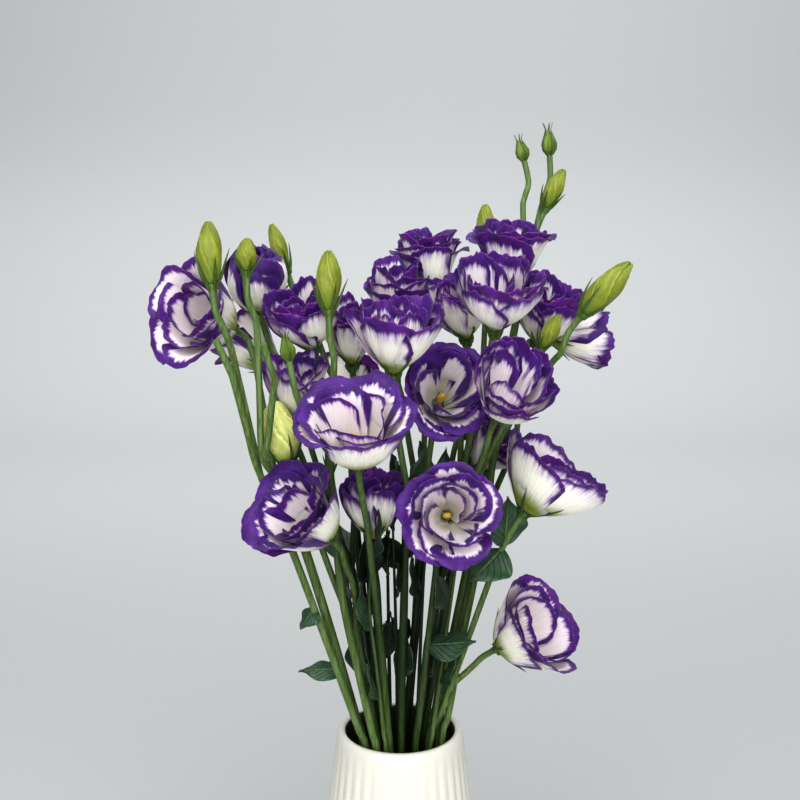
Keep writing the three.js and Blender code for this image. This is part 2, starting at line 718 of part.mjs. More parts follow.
// One spray: a stem up to its first flower, a branch to each of the others, the calyxes, bracts and leaves.
function spraySolid(spray) {
  const own = routes.filter((r) => r.flower.spray === spray);
  const first = own[0];
  const forkLevel = own.length > 1 ? floor(first.fork) : 0;
  const foot = [footPoint(first, STEM_FOOT), footPoint(first, STRAIGHT_TO)];
  const footRadius = own.length > 1 ? MAIN_RADIUS : (MAIN_RADIUS + PEDICEL_RADIUS) / 2;
  const solids = [stemSolid(first, foot, 0, footRadius)];
  for (const route of own.slice(1)) {
    // A branch leaves the first stem where the two have come apart.
    let level = min(forkLevel, route.free, first.xy.length - 2);
    const apart = (i) => hypot(route.xy[i][0] - first.xy[i][0], route.xy[i][1] - first.xy[i][1]);
    while (level < min(route.free, first.free) && apart(level + 1) < MAIN_RADIUS + PEDICEL_RADIUS) level++;
    solids.push(stemSolid(route, [levelPoint(first, level)], level + 1, PEDICEL_RADIUS));
  }
  for (const { flower } of own) {
    if (flower.depth || BUDS.includes(flower)) solids.push(...calyx(flower));
    if (GREEN_BUDS.includes(flower)) solids.push(...greenBud(flower));
  }
  if (own.length > 1) {
    const fork = levelPoint(first, forkLevel);
    for (const turn of [40, 220]) {
      const out = facing(turn, 56);
      const at = (t) => fork.clone().addScaledVector(out, BRACT_LENGTH * t);
      solids.push(solidOf(needle(at, 1.4, V(0, 0, -1), 1)));
    }
  }
  for (const leaf of LEAVES) {
    if (own.some((r) => r.flower.name === leaf.on)) solids.push(leafSolid(leaf));
  }
  return largestBody(wasm.Manifold.union(solids));
}

// Blooms

// A point of a petal's middle surface, in the flower's own frame, with the flower's axis as +Z.
function petalPoint(bloom, ring, k, u, v) {
  const reach = v * (1 - TIP_ROUND * abs(u) ** 2.4);
  const [r, z] = bezier(FORMS[bloom.form], reach);
  const angle = ((k + ring.turn) * 2 * PI) / ring.count + u * ring.half + bloom.turn * 0.05;
  const free = max(0, reach - 0.45) / 0.55;
  const wave = PETAL_WAVE * free * sin(u * 4.2 + k * 2.1 + ring.turn * 5);
  const shingle = SHINGLE * u * min(1, reach * 4) * (0.4 + 0.6 * ring.reach);
  const radius = r * bloom.radius * ring.reach + shingle + wave;
  const height = z * bloom.depth * ring.rise + wave * 0.7;
  return V(radius * cos(angle), radius * sin(angle), height);
}

// A ring of petals as one thin wall, three columns of points a petal. The petals overlap like shingles and part at
// the rim. Where the wall is closed, it is the corolla: it has a foot outside and the flower's heart inside.
function ringSolid(bloom, ring, rows, start, closed) {
  const columns = [];
  for (let k = 0; k < ring.count; k++) for (const u of ring.columns) columns.push([k, u]);
  const count = columns.length;
  const at = (k, u, row) => petalPoint(bloom, ring, k, u, mix(start, 1, row / (rows - 1)));
  const points = [];
  for (const depth of [0, PETAL_THICKNESS]) {
    for (let row = 0; row < rows; row++) {
      for (const [k, u] of columns) {
        const low = at(k, u, max(0, row - 0.2));
        const high = at(k, u, min(rows - 1, row + 0.2));
        const run = hypot(high.x, high.y) - hypot(low.x, low.y);
        const rise = high.z - low.z;
        const inward = depth / hypot(run, rise);
        const p = at(k, u, row);
        const out = V(p.x, p.y, 0).normalize();
        points.push(p.addScaledVector(out, -inward * rise).add(V(0, 0, inward * run)));
      }
    }
  }
  const inside = rows * count;
  const top = (rows - 1) * count;
  const triangles = [];
  const band = (low, high) => {
    for (let i = 0; i < count; i++) {
      const j = (i + 1) % count;
      triangles.push([low + i, low + j, high + j], [low + i, high + j, high + i]);
    }
  };
  for (let row = 0; row + 1 < rows; row++) band(row * count, (row + 1) * count);
  band(top, inside + top);
  for (let row = rows - 1; row > 0; row--) {
    for (let i = 0; i < count; i++) {
      const j = (i + 1) % count;
      const low = inside + (row - 1) * count;
      const high = inside + row * count;
      triangles.push([low + i, high + j, low + j], [low + i, high + i, high + j]);
    }
  }
  if (!closed) {
    band(inside, 0);
    return solidOf(geometryFrom(points, triangles));
  }
  const foot = points.push(V(0, 0, 0)) - 1;
  const heart = points.push(V(0, 0, bloom.depth * 0.4)) - 1;
  for (let i = 0; i < count; i++) {
    const j = (i + 1) % count;
    triangles.push([foot, j, i], [heart, inside + i, inside + j]);
  }
  return solidOf(geometryFrom(points, triangles));
}

function bloomSolid(bloom) {
  const inner = { ...INNER_RING, ...(bloom.radius < SMALL_BLOOM_RADIUS ? SMALL_INNER : {}) };
  inner.rise *= bloom.crown ?? 1;
  const solids = [ringSolid(bloom, OUTER_RING, 3, CUP_START, true), ringSolid(bloom, inner, 2, CUP_START, false)];
  if (bloom.form !== "open" && bloom.radius > SMALL_BLOOM_RADIUS) {
    solids.push(ringSolid(bloom, HEART_RING, 2, CUP_START, false));
  }
  const fused = largestBody(wasm.Manifold.union(solids));
  return solidOf(placed(geometryOf(fused), bloom.base, bloom.axis));
}

// Vase and water

// The ribbed outer skin: a lathe whose points are moved in and out round its girth, most in the middle of its
// height.
function vaseSolid() {
  const lip = [[LIP_RADIUS + 1.6, VASE_HEIGHT - 3], [LIP_RADIUS, VASE_HEIGHT]];
  const outer = latheZ([[0, 0], ...VASE_OUTLINE, ...lip, [0, VASE_HEIGHT]], VASE_RIBS * 2);
  const position = outer.attributes.position;
  for (let i = 0; i < position.count; i++) {
    const p = V().fromBufferAttribute(position, i);
    const radius = hypot(p.x, p.y);
    const fade = min(1, max(0, (p.z - 3) / 8)) * min(1, max(0, (VASE_HEIGHT - 4 - p.z) / 12));
    if (radius < 1 || fade === 0) continue;
    const turn = Math.atan2(p.y, p.x);
    const groove = round((turn / (2 * PI)) * VASE_RIBS * 2) % 2 ? -1 : 0;
    const scale = (radius + groove * RIB_RELIEF * fade) / radius;
    position.setXY(i, p.x * scale, p.y * scale);
  }
  const inside = latheZ(
    [[0, VASE_FLOOR], ...VASE_INSIDE, [MOUTH_RADIUS, VASE_HEIGHT + 1], [0, VASE_HEIGHT + 1]],
    INSIDE_SIDES,
  );
  return solidOf(outer).subtract(solidOf(inside));
}

function waterSolid() {
  const profile = [[0, VASE_FLOOR + WATER_GAP]];
  for (const [r, z] of VASE_INSIDE) {
    if (z < WATER_LEVEL) profile.push([r - WATER_GAP, max(z, VASE_FLOOR + WATER_GAP)]);
  }
  const above = VASE_INSIDE.findIndex(([, z]) => z > WATER_LEVEL);
  const [low, high] = [VASE_INSIDE[above - 1], VASE_INSIDE[above]];
  const surface = mix(low[0], high[0], (WATER_LEVEL - low[1]) / (high[1] - low[1]));
  profile.push([surface - WATER_GAP, WATER_LEVEL], [0, WATER_LEVEL]);
  let water = solidOf(latheZ(profile, INSIDE_SIDES));
  for (const [x, y] of sprayNames.map((spray) => routes.find((r) => r.flower.spray === spray).xy[0])) {
    const hole = latheZ(
      [
        [0, STEM_FOOT - HOLE_GAP],
        [MAIN_RADIUS + HOLE_GAP, STEM_FOOT - HOLE_GAP],
        [MAIN_RADIUS + HOLE_GAP, WATER_LEVEL + 1],
        [0, WATER_LEVEL + 1],
      ],
      STEM_SIDES,
    );
    water = water.subtract(solidOf(hole.translate(x, y, 0)));
  }
  return water;
}

// Assembly

const model = new THREE.Group();
model.name = "lisianthus_in_vase";

function addPiece(name, geometry, material) {
  const mesh = new THREE.Mesh(geometry, material);
  mesh.name = name;
  model.add(mesh);
}

addPiece("vase", geometryOf(vaseSolid()), MATERIALS.vase);
addPiece("water", geometryOf(waterSolid()), MATERIALS.water);
for (const spray of sprayNames) addPiece("spray_" + spray, geometryOf(spraySolid(spray)), MATERIALS.stem);
for (const bud of BUDS) addPiece(bud.name, geometryOf(solidOf(budGeometry(bud, BUD_SIDES))), MATERIALS.bud);
for (const bloom of BLOOMS) addPiece(bloom.name, geometryOf(bloomSolid(bloom)), MATERIALS.petal);

export default model;
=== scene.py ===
import math
import random
from types import SimpleNamespace

import bpy
import numpy as np
from bpy.props import FloatProperty, FloatVectorProperty, PointerProperty
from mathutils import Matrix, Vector


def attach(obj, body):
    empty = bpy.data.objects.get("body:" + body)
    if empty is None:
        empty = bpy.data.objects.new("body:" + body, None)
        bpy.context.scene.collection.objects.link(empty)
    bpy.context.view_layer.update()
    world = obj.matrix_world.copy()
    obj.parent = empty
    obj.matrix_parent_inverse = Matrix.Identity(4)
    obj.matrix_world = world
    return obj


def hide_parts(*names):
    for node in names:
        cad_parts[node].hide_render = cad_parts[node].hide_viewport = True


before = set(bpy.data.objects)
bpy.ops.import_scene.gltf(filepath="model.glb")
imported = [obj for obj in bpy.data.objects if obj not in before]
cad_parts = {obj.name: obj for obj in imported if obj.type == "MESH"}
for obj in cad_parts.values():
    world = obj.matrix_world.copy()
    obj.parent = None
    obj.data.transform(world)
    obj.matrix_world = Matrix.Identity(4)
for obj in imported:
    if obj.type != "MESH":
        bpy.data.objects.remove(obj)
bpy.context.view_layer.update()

bl_info = {
    "name": "Lisianthus in a Ribbed Vase",
    "version": (1, 0, 0),
    "blender": (4, 5, 0),
    "location": "3D View > Sidebar > Lisianthus",
    "description": "Models a bunch of picotee lisianthus standing in a ribbed ceramic vase",
    "category": "Add Mesh",
}

# Places and sizes are in millimetres, as in the part's source, and turn into metres where a mesh is made.
MM = 0.001

# Flowers

# Where the hollow of a flower lies off its middle, to the right and up, as shares of its radius.
HOLLOWS = {
    "front_large": (-0.22, -0.16), "far_left": (0.2, 0.05), "low_left": (-0.1, 0.22),
    "right_rosette": (0.08, 0.1), "low_right": (0.2, 0.0), "low_front": (-0.06, 0.05),
    "twin_right": (-0.2, 0.2), "deep_throat": (0.05, 0.1),
}
# How much longer the outer petals that hang down are.
HANGS = {"right_rosette": 1.12, "deep_throat": 1.12, "low_front": 1.04, "far_left": 1.1}
# How wide a flower's painted edges are beside the others.
PAINTS = {
    "left_dome": 2.0, "back_mid": 0.85, "far_right": 0.7, "right_goblet": 0.75, "low_right": 0.8,
    "deep_throat": 1.4, "right_rosette": 0.8, "twin_right": 0.85, "low_left": 1.25, "inner_left": 0.55,
    "mid_cup": 0.7, "white_cup": 0.85, "twin_left": 0.7, "left_cup": 0.85,
}
# How deep its rims ripple and how far up its petals are green, beside the others.
RUFFLES = {"low_right": 0.5, "far_left": 0.8, "right_goblet": 0.8}
GREENS = {"right_goblet": 1.15, "behind_stems": 1.4, "inner_left": 1.2, "mid_cup": 1.1}
# How much taller than wide its face is.
OVALS = {"deep_throat": 1.12, "right_rosette": 1.06, "far_left": 1.06}
# How many layers of petals it has, beside three where it is open and four where it is a cup.
LAYER_COUNTS = {"far_left": 4, "low_left": 4, "low_front": 4}
# How far apart its layers stand: one is evenly filled, and less leaves its middle open.
SPACINGS = {
    "front_large": 0.6, "low_left": 0.7, "low_front": 0.75, "low_right": 0.6, "far_left": 0.85,
    "deep_throat": 0.65, "right_rosette": 0.55, "twin_right": 0.75,
}


def bloom(name, rim, turn, lift, radius, depth, form, spray, crown=1):
    usual = 3 if form in ("open", "bowl") and crown == 1 else 4
    return SimpleNamespace(
        name="bloom_" + name, kind="bloom", rim=rim, turn=turn, lift=lift, radius=radius, depth=depth,
        form=form, spray=spray, crown=crown, hollow=HOLLOWS.get(name, (0, 0)), hang=HANGS.get(name, 1),
        paint=PAINTS.get(name, 1), ruffle=RUFFLES.get(name, 1), green=GREENS.get(name, 1),
        oval=OVALS.get(name, 1), spacing=SPACINGS.get(name, 1), layers=LAYER_COUNTS.get(name, usual))


def bud(name, foot, turn, lift, length, radius, spray, kind="bud"):
    return SimpleNamespace(
        name=name, kind=kind, base=foot, turn=turn, lift=lift, length=length, radius=radius, spray=spray)


# The middle of the rim, the way the flower faces (turn from the viewer to the right, and lift, in degrees),
# its radius and depth, its form, its spray, and how much longer the inner petals are in a crown.
BLOOMS = [
    bloom("far_left", (-116, -40, 456.5), -38, 22, 28, 38, "open", "left"),
    bloom("left_dome", (-83.5, 1, 484.5), -5, 58, 17.5, 38, "half", "left_mid"),
    bloom("left_cup", (-55, -28, 461), -24, 62, 20, 34, "cup", "left_tall"),
    bloom("mid_cup", (-30, 6, 453), -10, 72, 18, 36, "cup", "mid_tall"),
    bloom("white_cup", (-1.6, -52, 456.3), 10, 74, 23.5, 37, "cup", "white"),
    bloom("back_mid", (-0.5, 14, 466), 4, 76, 20.5, 34, "open", "back_mid", 1.35),
    bloom("top_mid", (16, 40, 486.7), -30, 82, 22, 34, "open", "top_mid", 1.35),
    bloom("top_right", (65.5, 30, 496), 12, 80, 25.5, 34, "open", "top_right", 1.14),
    bloom("twin_left", (32, 0, 467), -22, 62, 18, 37.6, "cup", "twin"),
    bloom("twin_right", (54, -38, 474), 8, 60, 23, 36, "cup", "twin"),
    bloom("right_cup", (86, -4, 464), 24, 64, 20.5, 36, "cup", "right_bud"),
    bloom("far_right", (123, 40, 435), 98, 4, 19, 34, "cup", "right_far"),
    bloom("deep_throat", (25.6, -38, 414), 8, 27, 22.5, 34, "open", "throat"),
    bloom("right_rosette", (60.2, -63, 424.6), 17, 46, 20.5, 38, "cup", "rosette"),
    bloom("front_large", (-23.2, -88, 409), -5, 60, 30, 35, "open", "front_pair"),
    bloom("low_left", (-57, -72, 355.5), -40, 38, 28, 35, "open", "low_left"),
    bloom("low_front", (26, -80, 353.7), 2, 16, 26, 34, "open", "low_front"),
    bloom("inner_left", (-56, -32, 425), 10, 74, 17, 34, "cup", "left_tall"),
    bloom("behind_stems", (-15, -26, 360), 0, 84, 18, 36, "cup", "front_pair"),
    bloom("right_goblet", (92, -18, 371), 80, 57, 31, 39, "funnel", "right_low"),
    bloom("low_right", (83.5, -28, 277.7), 58, 35, 28, 36, "bowl", "right_low"),
    bloom("inner_right", (61.4, 13, 379), 60, 44, 18, 32, "cup", "rosette"),
    bloom("back_left", (-99, 40, 434), -120, 34, 20, 33, "open", "back_left"),
    bloom("rear_left", (-42, 74, 402), -160, 36, 26, 35, "open", "back_left"),
    bloom("rear_right", (44, 78, 388), 165, 30, 27, 35, "open", "back_mid"),
]
# The foot of each bud, the way it points, its length and radius, and its spray.
BUDS = [
    bud("bud_left_tall", (-94, -72, 470), -40, 84, 30, 6.3, "left"),
    bud("bud_left_small", (-78, -62, 476), 10, 84, 16, 5, "left_mid"),
    bud("bud_left_behind", (-67, 26, 474), -70, 70, 27, 4.8, "mid_tall"),
    bud("bud_mid_tall", (-37, -54, 456), -20, 86, 29.5, 6.5, "mid_front"),
    bud("bud_low_left", (-61, -40, 373), -60, 74, 33, 10, "low_left"),
    bud("bud_top_pale", (55, 64, 484), -90, 82, 28, 6, "top_right"),
    bud("bud_far_right", (99, -34, 453), 62, 50, 35, 7, "right_bud"),
    bud("bud_right_small", (78, -22, 433), 50, 62, 20, 4.7, "right_far"),
    bud("bud_top_leaning", (88, 50, 510.5), 60, 66, 24, 5.2, "tall_buds"),
]
GREEN_BUDS = [
    bud("green_bud_first", (75.4, 60, 538.9), -80, 74, 12.5, 4, "tall_buds", "green_bud"),
    bud("green_bud_second", (90.6, 58, 542), -60, 84, 15, 4.4, "tall_buds", "green_bud"),
    bud("green_bud_low", (-58, -52, 429), -70, 80, 13, 3.9, "mid_front", "green_bud"),
]
# Cut ends of side stems.
STUBS = [
    bud("stub_left", (-95, -74, 448), -60, 66, 0, 0, "left", "stub"),
    bud("stub_left_mid", (-70, -72, 446), -40, 74, 0, 0, "left_mid", "stub"),
]
FLOWERS = BLOOMS + BUDS + GREEN_BUDS + STUBS
SPRAYS = list(dict.fromkeys(flower.spray for flower in FLOWERS))

# Height at which each spray's stem forks.
FORKS = {
    "left": 338, "left_mid": 352, "left_tall": 330, "mid_tall": 400, "mid_front": 370, "white": 300,
    "back_mid": 318, "top_mid": 330, "top_right": 400, "twin": 360, "right_bud": 392, "right_far": 330,
    "throat": 300, "rosette": 300, "front_pair": 268, "low_left": 270, "low_front": 260, "right_low": 226,
    "back_left": 300, "tall_buds": 468,
}

# The flower whose stem a leaf grows on, its height, the way it points (turn and lift), its length, its half
# width, how far its tip drops and how far it is rolled towards the viewer. The last seven stand deep in the
# bunch.
LEAVES = [
    ("bloom_right_goblet", 318, 12, 74, 31, 11.5, 2, 20),
    ("bloom_right_goblet", 316, -54, -38, 29, 12.5, 4, 20),
    ("bloom_low_front", 262, 76, 6, 29, 9, 4, 40),
    ("bloom_left_dome", 244, -82, 6, 25, 6, -4, 40),
    ("bloom_far_left", 286, -70, -60, 14, 6, 2, 30),
    ("bloom_rear_left", 300, -150, 20, 36, 11, 9, 0),
    ("bloom_rear_right", 336, 170, 24, 38, 9, 10, 0),
    ("bloom_back_mid", 292, -20, 66, 44, 12, 5, 60),
    ("bloom_mid_cup", 286, 30, 70, 44, 12, 4, 50),
    ("bloom_top_right", 300, -70, 64, 42, 11, 6, 60),
    ("bloom_deep_throat", 322, 40, 58, 36, 10, 5, 40),
    ("bloom_twin_right", 276, -40, 68, 40, 11, 4, 60),
    ("bloom_top_mid", 330, 10, 72, 44, 12, 4, 60),
    ("bloom_back_left", 262, 50, 66, 40, 11, 5, 50),
]

# Leafy side shoots that fill the bunch: the spray each branches from, its x and y in the mouth, its tip.
SHOOTS = [
    ("white", (0, -12), (-4, -16, 335)),
    ("back_mid", (3, 6), (5, 8, 352)),
    ("top_mid", (-6, 12), (-8, 14, 348)),
    ("mid_tall", (-13, 3), (-22, 2, 340)),
    ("throat", (9, -5), (15, -12, 338)),
    ("twin", (15, 5), (28, 4, 345)),
    ("left_mid", (-18, -10), (-34, -16, 328)),
    ("rosette", (18, -12), (34, -24, 330)),
    ("top_right", (1, 20), (2, 34, 350)),
    ("back_left", (-12, 20), (-20, 34, 340)),
    ("right_far", (19, 12), (38, 20, 338)),
    ("mid_front", (-8, -20), (-16, -36, 322)),
]

# Profiles of a petal from foot to rim: radius and height as shares of the flower's radius and depth.
FORMS = {
    "open": ((0.09, 0), (0.52, 0.16), (0.66, 0.98), (1.0, 0.97)),
    "bowl": ((0.09, 0), (0.55, 0.08), (0.86, 0.8), (1.0, 1.0)),
    "cup": ((0.09, 0), (0.26, 0.17), (0.86, 0.38), (0.99, 1.0)),
    "funnel": ((0.09, 0), (0.38, 0.14), (0.95, 0.5), (1.0, 1.0)),
    "half": ((0.1, 0), (0.95, 0.04), (1.36, 0.76), (0.56, 1.0)),
    "upright": ((0.1, 0), (0.7, 0.12), (0.9, 0.62), (0.94, 1.0)),
    "closing": ((0.1, 0), (1.0, 0.04), (1.36, 0.8), (0.3, 1.06)),
}


def layer(count, reach, rise, half, turn, upright, paint):
    """How many petals, their share of the radius and of the depth, half of the angle that each spans,
    where the layer starts, how upright it stands, and how wide its paint is inside and on the back."""
    return SimpleNamespace(
        count=count, reach=reach, rise=rise, half=half, turn=turn, upright=upright, paint=paint)


# Layers of petals from the outside in, and the columns and rows of faces in a petal of each.
PETAL_GRIDS = [(34, 20), (30, 18), (28, 16), (24, 14)]
OPEN_LAYERS = [
    layer(5, 1.0, 1.0, 0.86, 0.0, 0.0, (1.0, 1.0)),
    layer(4, 0.8, 0.99, 0.95, 0.45, 0.35, (0.8, 0.8)),
    layer(3, 0.56, 0.98, 1.15, 0.3, 0.8, (0.7, 0.7)),
    layer(2, 0.33, 0.84, 1.3, 0.15, 1.0, (0.6, 0.6)),
]
CROWNED_LAYERS = [
    layer(5, 1.0, 1.0, 0.86, 0.0, 0.0, (1.1, 1.0)),
    layer(4, 0.9, 1.0, 1.0, 0.45, 0.4, (1.2, 1.2)),
    layer(4, 0.76, 1.0, 0.95, 0.2, 0.5, (1.2, 1.4)),
    layer(3, 0.5, 0.96, 1.1, 0.7, 0.9, (1.0, 1.2)),
]
CUP_LAYERS = [
    layer(5, 1.0, 0.94, 0.86, 0.0, 0.0, (0.8, 0.6)),
    layer(4, 0.9, 1.02, 0.95, 0.45, 0.3, (0.9, 0.9)),
    layer(4, 0.72, 0.98, 0.9, 0.2, 0.7, (0.85, 0.9)),
    layer(3, 0.48, 0.92, 1.1, 0.7, 1.0, (0.75, 0.7)),
]
SHINGLE = 1.3
TIP_ROUND = 0.24
PETAL_START = 0.08
MARGIN_UNIT = 20
GRAIN_UNIT = 40

# Stems

STEM_FOOT = 16
STRAIGHT_TO = 150
MOUTH_LEVEL = 196
LEVEL_STEP = 12
MAIN_RADIUS = 2.9
PEDICEL_RADIUS = 2.0
SHOOT_RADIUS = 1.6
BUNDLE_RADIUS = 26.5
BUNDLE_SPACING = 8.4
STEM_CLEARANCE = 1.8
BLOOM_CLEARANCE = 2.6
SETTLING_ROUNDS = 260
SHOOT_ROUNDS = 60
NECK_ALONG_AXIS = 11
NECK_DOWN = 16
RECEPTACLE_LENGTH = 7
RECEPTACLE_RADIUS = 4
SEPALS = 5
SEPAL_STEPS = 7
SEPAL_START = 3.2
BRACT_LENGTH = 11
LEAF_THICKNESS = 0.5

# Vase

VASE_RIBS = 36
RIB_COLUMNS = 8
VASE_HEIGHT = 202
# Outer radius and height from the foot to the lip, and then down the inside.
VASE_OUTLINE = [
    (43, 0), (46, 1.5), (48, 5), (49.6, 12), (51, 24), (52, 40), (52.4, 58), (52, 78), (50.9, 98),
    (49, 115), (46.8, 131), (44.2, 148), (41.8, 165), (40, 180), (38.7, 190), (38.1, 196),
]
LIP = [(37.6, 199), (36.9, 200.8), (35.7, 201.8), (34.4, 202), (33.3, 201.7), (32.6, 200.8), (32.3, 199.2)]
VASE_INSIDE = [
    (32.3, 196), (35.4, 175), (38.8, 152), (41.6, 130), (45, 92), (47, 60), (45.8, 30), (44.4, 15), (43, 9),
]
FLOOR_INSIDE = [(28, 8.7), (12, 8.6)]


# Settings


def tint(name, description, default):
    return FloatVectorProperty(
        name=name, description=description, subtype="COLOR", min=0, max=1, default=default)


def measure(name, description, default, low, high):
    return FloatProperty(
        name=name, description=description, default=default, min=low, max=high, unit="LENGTH", precision=5)


def strength(name, description, default, high):
    return FloatProperty(name=name, description=description, default=default, min=0, max=high)


class VaseSettings(bpy.types.PropertyGroup):
    glaze: tint("Glaze", "Colour of the vase's glaze", (0.55, 0.54, 0.475))
    rib_depth: measure("Rib depth", "How far the grooves go in between the ribs", 0.001, 0, 0.003)
    water: tint("Water", "Colour of the water in the vase", (0.86, 0.92, 0.9))


class PetalSettings(bpy.types.PropertyGroup):
    inside: tint("Inside", "Colour of a petal's inner face", (0.71, 0.605, 0.635))
    back: tint("Back", "Colour of a petal's outer face", (0.95, 0.88, 0.765))
    foot: tint("Foot", "Colour at a petal's foot", (0.18, 0.24, 0.012))
    margin: tint("Margin", "Colour of the painted edge of a petal", (0.042, 0.0072, 0.128))
    margin_width: measure("Margin width", "Mean width of the painted edge", 0.0082, 0, 0.015)
    ruffle: strength("Ruffle", "How far the rims ripple, 1 being as in the photo", 1, 2)
    thickness: measure("Thickness", "Thickness of a petal", 0.00035, 0.0001, 0.001)


class GreenSettings(bpy.types.PropertyGroup):
    stem: tint("Stem", "Colour of the stems", (0.056, 0.093, 0.02))
    calyx: tint("Calyx", "Colour of the calyxes and bracts", (0.036, 0.064, 0.012))
    leaf: tint("Leaf", "Colour of the leaves", (0.016, 0.05, 0.02))
    bud: tint("Bud", "Colour of the large buds", (0.16, 0.19, 0.012))
    pale_bud: tint("Pale bud", "Colour of the bud that starts to open", (0.5, 0.53, 0.17))
    stem_radius: measure("Stem radius", "Radius of a stem below its fork", 0.00265, 0.001, 0.004)
    pedicel_radius: measure("Pedicel radius", "Radius of the stalk under a flower", 0.0018, 0.0008, 0.003)


class StudioSettings(bpy.types.PropertyGroup):
    backdrop: tint("Backdrop", "Colour of the floor and backdrop", (0.44, 0.45, 0.452))
    key: strength("Key light", "Power of the large light above", 19, 200)
    fill: strength("Fill light", "Power of the light in front", 41, 200)
    wall: strength("Wall light", "Power of the light on the wall", 78, 300)
    ambient: strength("Ambient", "Strength of the light from all round", 0.28, 3)


# Routes of the stems, as in the part's source


def mix(a, b, t):
    return a + (b - a) * t


def facing(turn, lift):
    t = math.radians(turn)
    l = math.radians(lift)
    return (math.cos(l) * math.sin(t), -math.cos(l) * math.cos(t), math.sin(l))


def along(point, direction, distance):
    return tuple(p + d * distance for p, d in zip(point, direction))


def towards(start, end):
    step = [b - a for a, b in zip(start, end)]
    length = math.hypot(*step)
    return tuple(s / length for s in step)


def level_of(height):
    return (height - MOUTH_LEVEL) / LEVEL_STEP


def height_of(level):
    return MOUTH_LEVEL + level * LEVEL_STEP


def neck_point(route, t):
    """A point of the stem's bend under the flower, for t from 0 to 1."""
    flower = route.flower
    reach = math.dist(route.neck, flower.base) * 0.42
    a = route.neck
    b = along(a, route.down, -reach)
    d = along(flower.base, flower.axis, -RECEPTACLE_LENGTH)
    c = along(d, flower.axis, -reach)
    s = 1 - t
    return tuple(s**3 * a[k] + 3 * s * s * t * b[k] + 3 * s * t * t * c[k] + t**3 * d[k] for k in range(3))


def balls_of(flower):
    """Balls that stand for a flower while the stems are bent clear of it: centre, radius, top."""
    if flower.kind == "bloom":
        top = flower.rim[2] + flower.radius * math.cos(math.radians(flower.lift)) + 3
        sizes = [(0.2, 0.5, math.inf), (0.5, 0.86, math.inf), (0.84, 0.98, top)]
        if flower.crown > 1:
            sizes.append((1.12, 0.62, math.inf))
        size = flower.depth
    elif flower.length:
        sizes = [(0.3, 1.1, math.inf), (0.6, 1, math.inf)]
        size = flower.length
    else:
        return []
    return [(along(flower.base, flower.axis, size * d), flower.radius * r, t) for d, r, t in sizes]


def ease_point(point, below, above, share):
    """Moves a point of a route a share of the way to the middle of its neighbours."""
    for k in (0, 1):
        point[k] += share * ((below[k] + above[k]) / 2 - point[k])


def push_apart(p, q, needed, share_p, share_q):
    dx = p[0] - q[0]
    dy = p[1] - q[1]
    gap = math.hypot(dx, dy)
    if gap >= needed:
        return
    push = (needed - gap) / max(gap, 1e-6)
    p[0] += dx * push * share_p
    p[1] += dy * push * share_p
    q[0] -= dx * push * share_q
    q[1] -= dy * push * share_q


def start_routes():
    """The routes as they first run: an even bundle in the mouth, then easy curves to the necks."""
    routes = []
    for flower in FLOWERS:
        flower.axis = facing(flower.turn, flower.lift)
        if flower.kind == "bloom":
            flower.base = along(flower.rim, flower.axis, -flower.depth)
        down = towards(flower.base, (0, 0, MOUTH_LEVEL))
        tail = min(NECK_DOWN, (flower.base[2] - MOUTH_LEVEL) * 0.6)
        neck = along(along(flower.base, flower.axis, -NECK_ALONG_AXIS), down, tail)
        free = max(1, math.floor(level_of(neck[2])))
        fork = level_of(FORKS[flower.spray])
        routes.append(SimpleNamespace(flower=flower, neck=neck, down=down, free=free, fork=fork, xy=[]))
    mouths = {}
    for spray in SPRAYS:
        own = [r for r in routes if r.flower.spray == spray]
        mouths[spray] = [
            sum(r.neck[k] for r in own) / len(own) * share for k, share in ((0, 0.3), (1, 0.42))]
    places = list(mouths.values())
    for _ in range(SETTLING_ROUNDS):
        for i, p in enumerate(places):
            for q in places[i + 1:]:
                push_apart(p, q, BUNDLE_SPACING, 0.5, 0.5)
        for p in places:
            out = math.hypot(*p)
            if out > BUNDLE_RADIUS:
                p[0] *= BUNDLE_RADIUS / out
                p[1] *= BUNDLE_RADIUS / out
    for route in routes:
        mouth = mouths[route.flower.spray]
        span = level_of(route.neck[2])
        for level in range(route.free + 1):
            t = level / span
            ease = t * (1.15 - 0.15 * t)
            route.xy.append([mix(mouth[0], route.neck[0], ease), mix(mouth[1], route.neck[1], ease)])
        level = route.free + 1
        while level_of(route.flower.base[2]) > level:
            bend = [neck_point(route, k / 20) for k in range(21)]
            nearest = min(bend, key=lambda p: abs(p[2] - height_of(level)))
            route.xy.append([nearest[0], nearest[1]])
            level += 1
    return routes


def stem_radius_at(route, level):
    return MAIN_RADIUS if level <= route.fork else PEDICEL_RADIUS


def stretch_at(xy, level):
    low = xy[max(0, level - 1)]
    high = xy[min(len(xy) - 1, level + 1)]
    slope = math.hypot(high[0] - low[0], high[1] - low[1]) / (2 * LEVEL_STEP)
    return math.sqrt(1 + slope**2)


def obstacles_at(height, balls):
    """What a level's stems keep clear of: centre, reach, flower and, for a neck, its spray."""
    found = []
    for centre, radius, top, flower, neck in balls:
        rise = abs(height - centre[2])
        if rise >= radius + 4 or height > top:
            continue
        reach = radius if neck else math.sqrt(max(0, radius**2 - rise**2))
        found.append(([centre[0], centre[1]], reach, flower, flower.spray if neck else None))
    return found


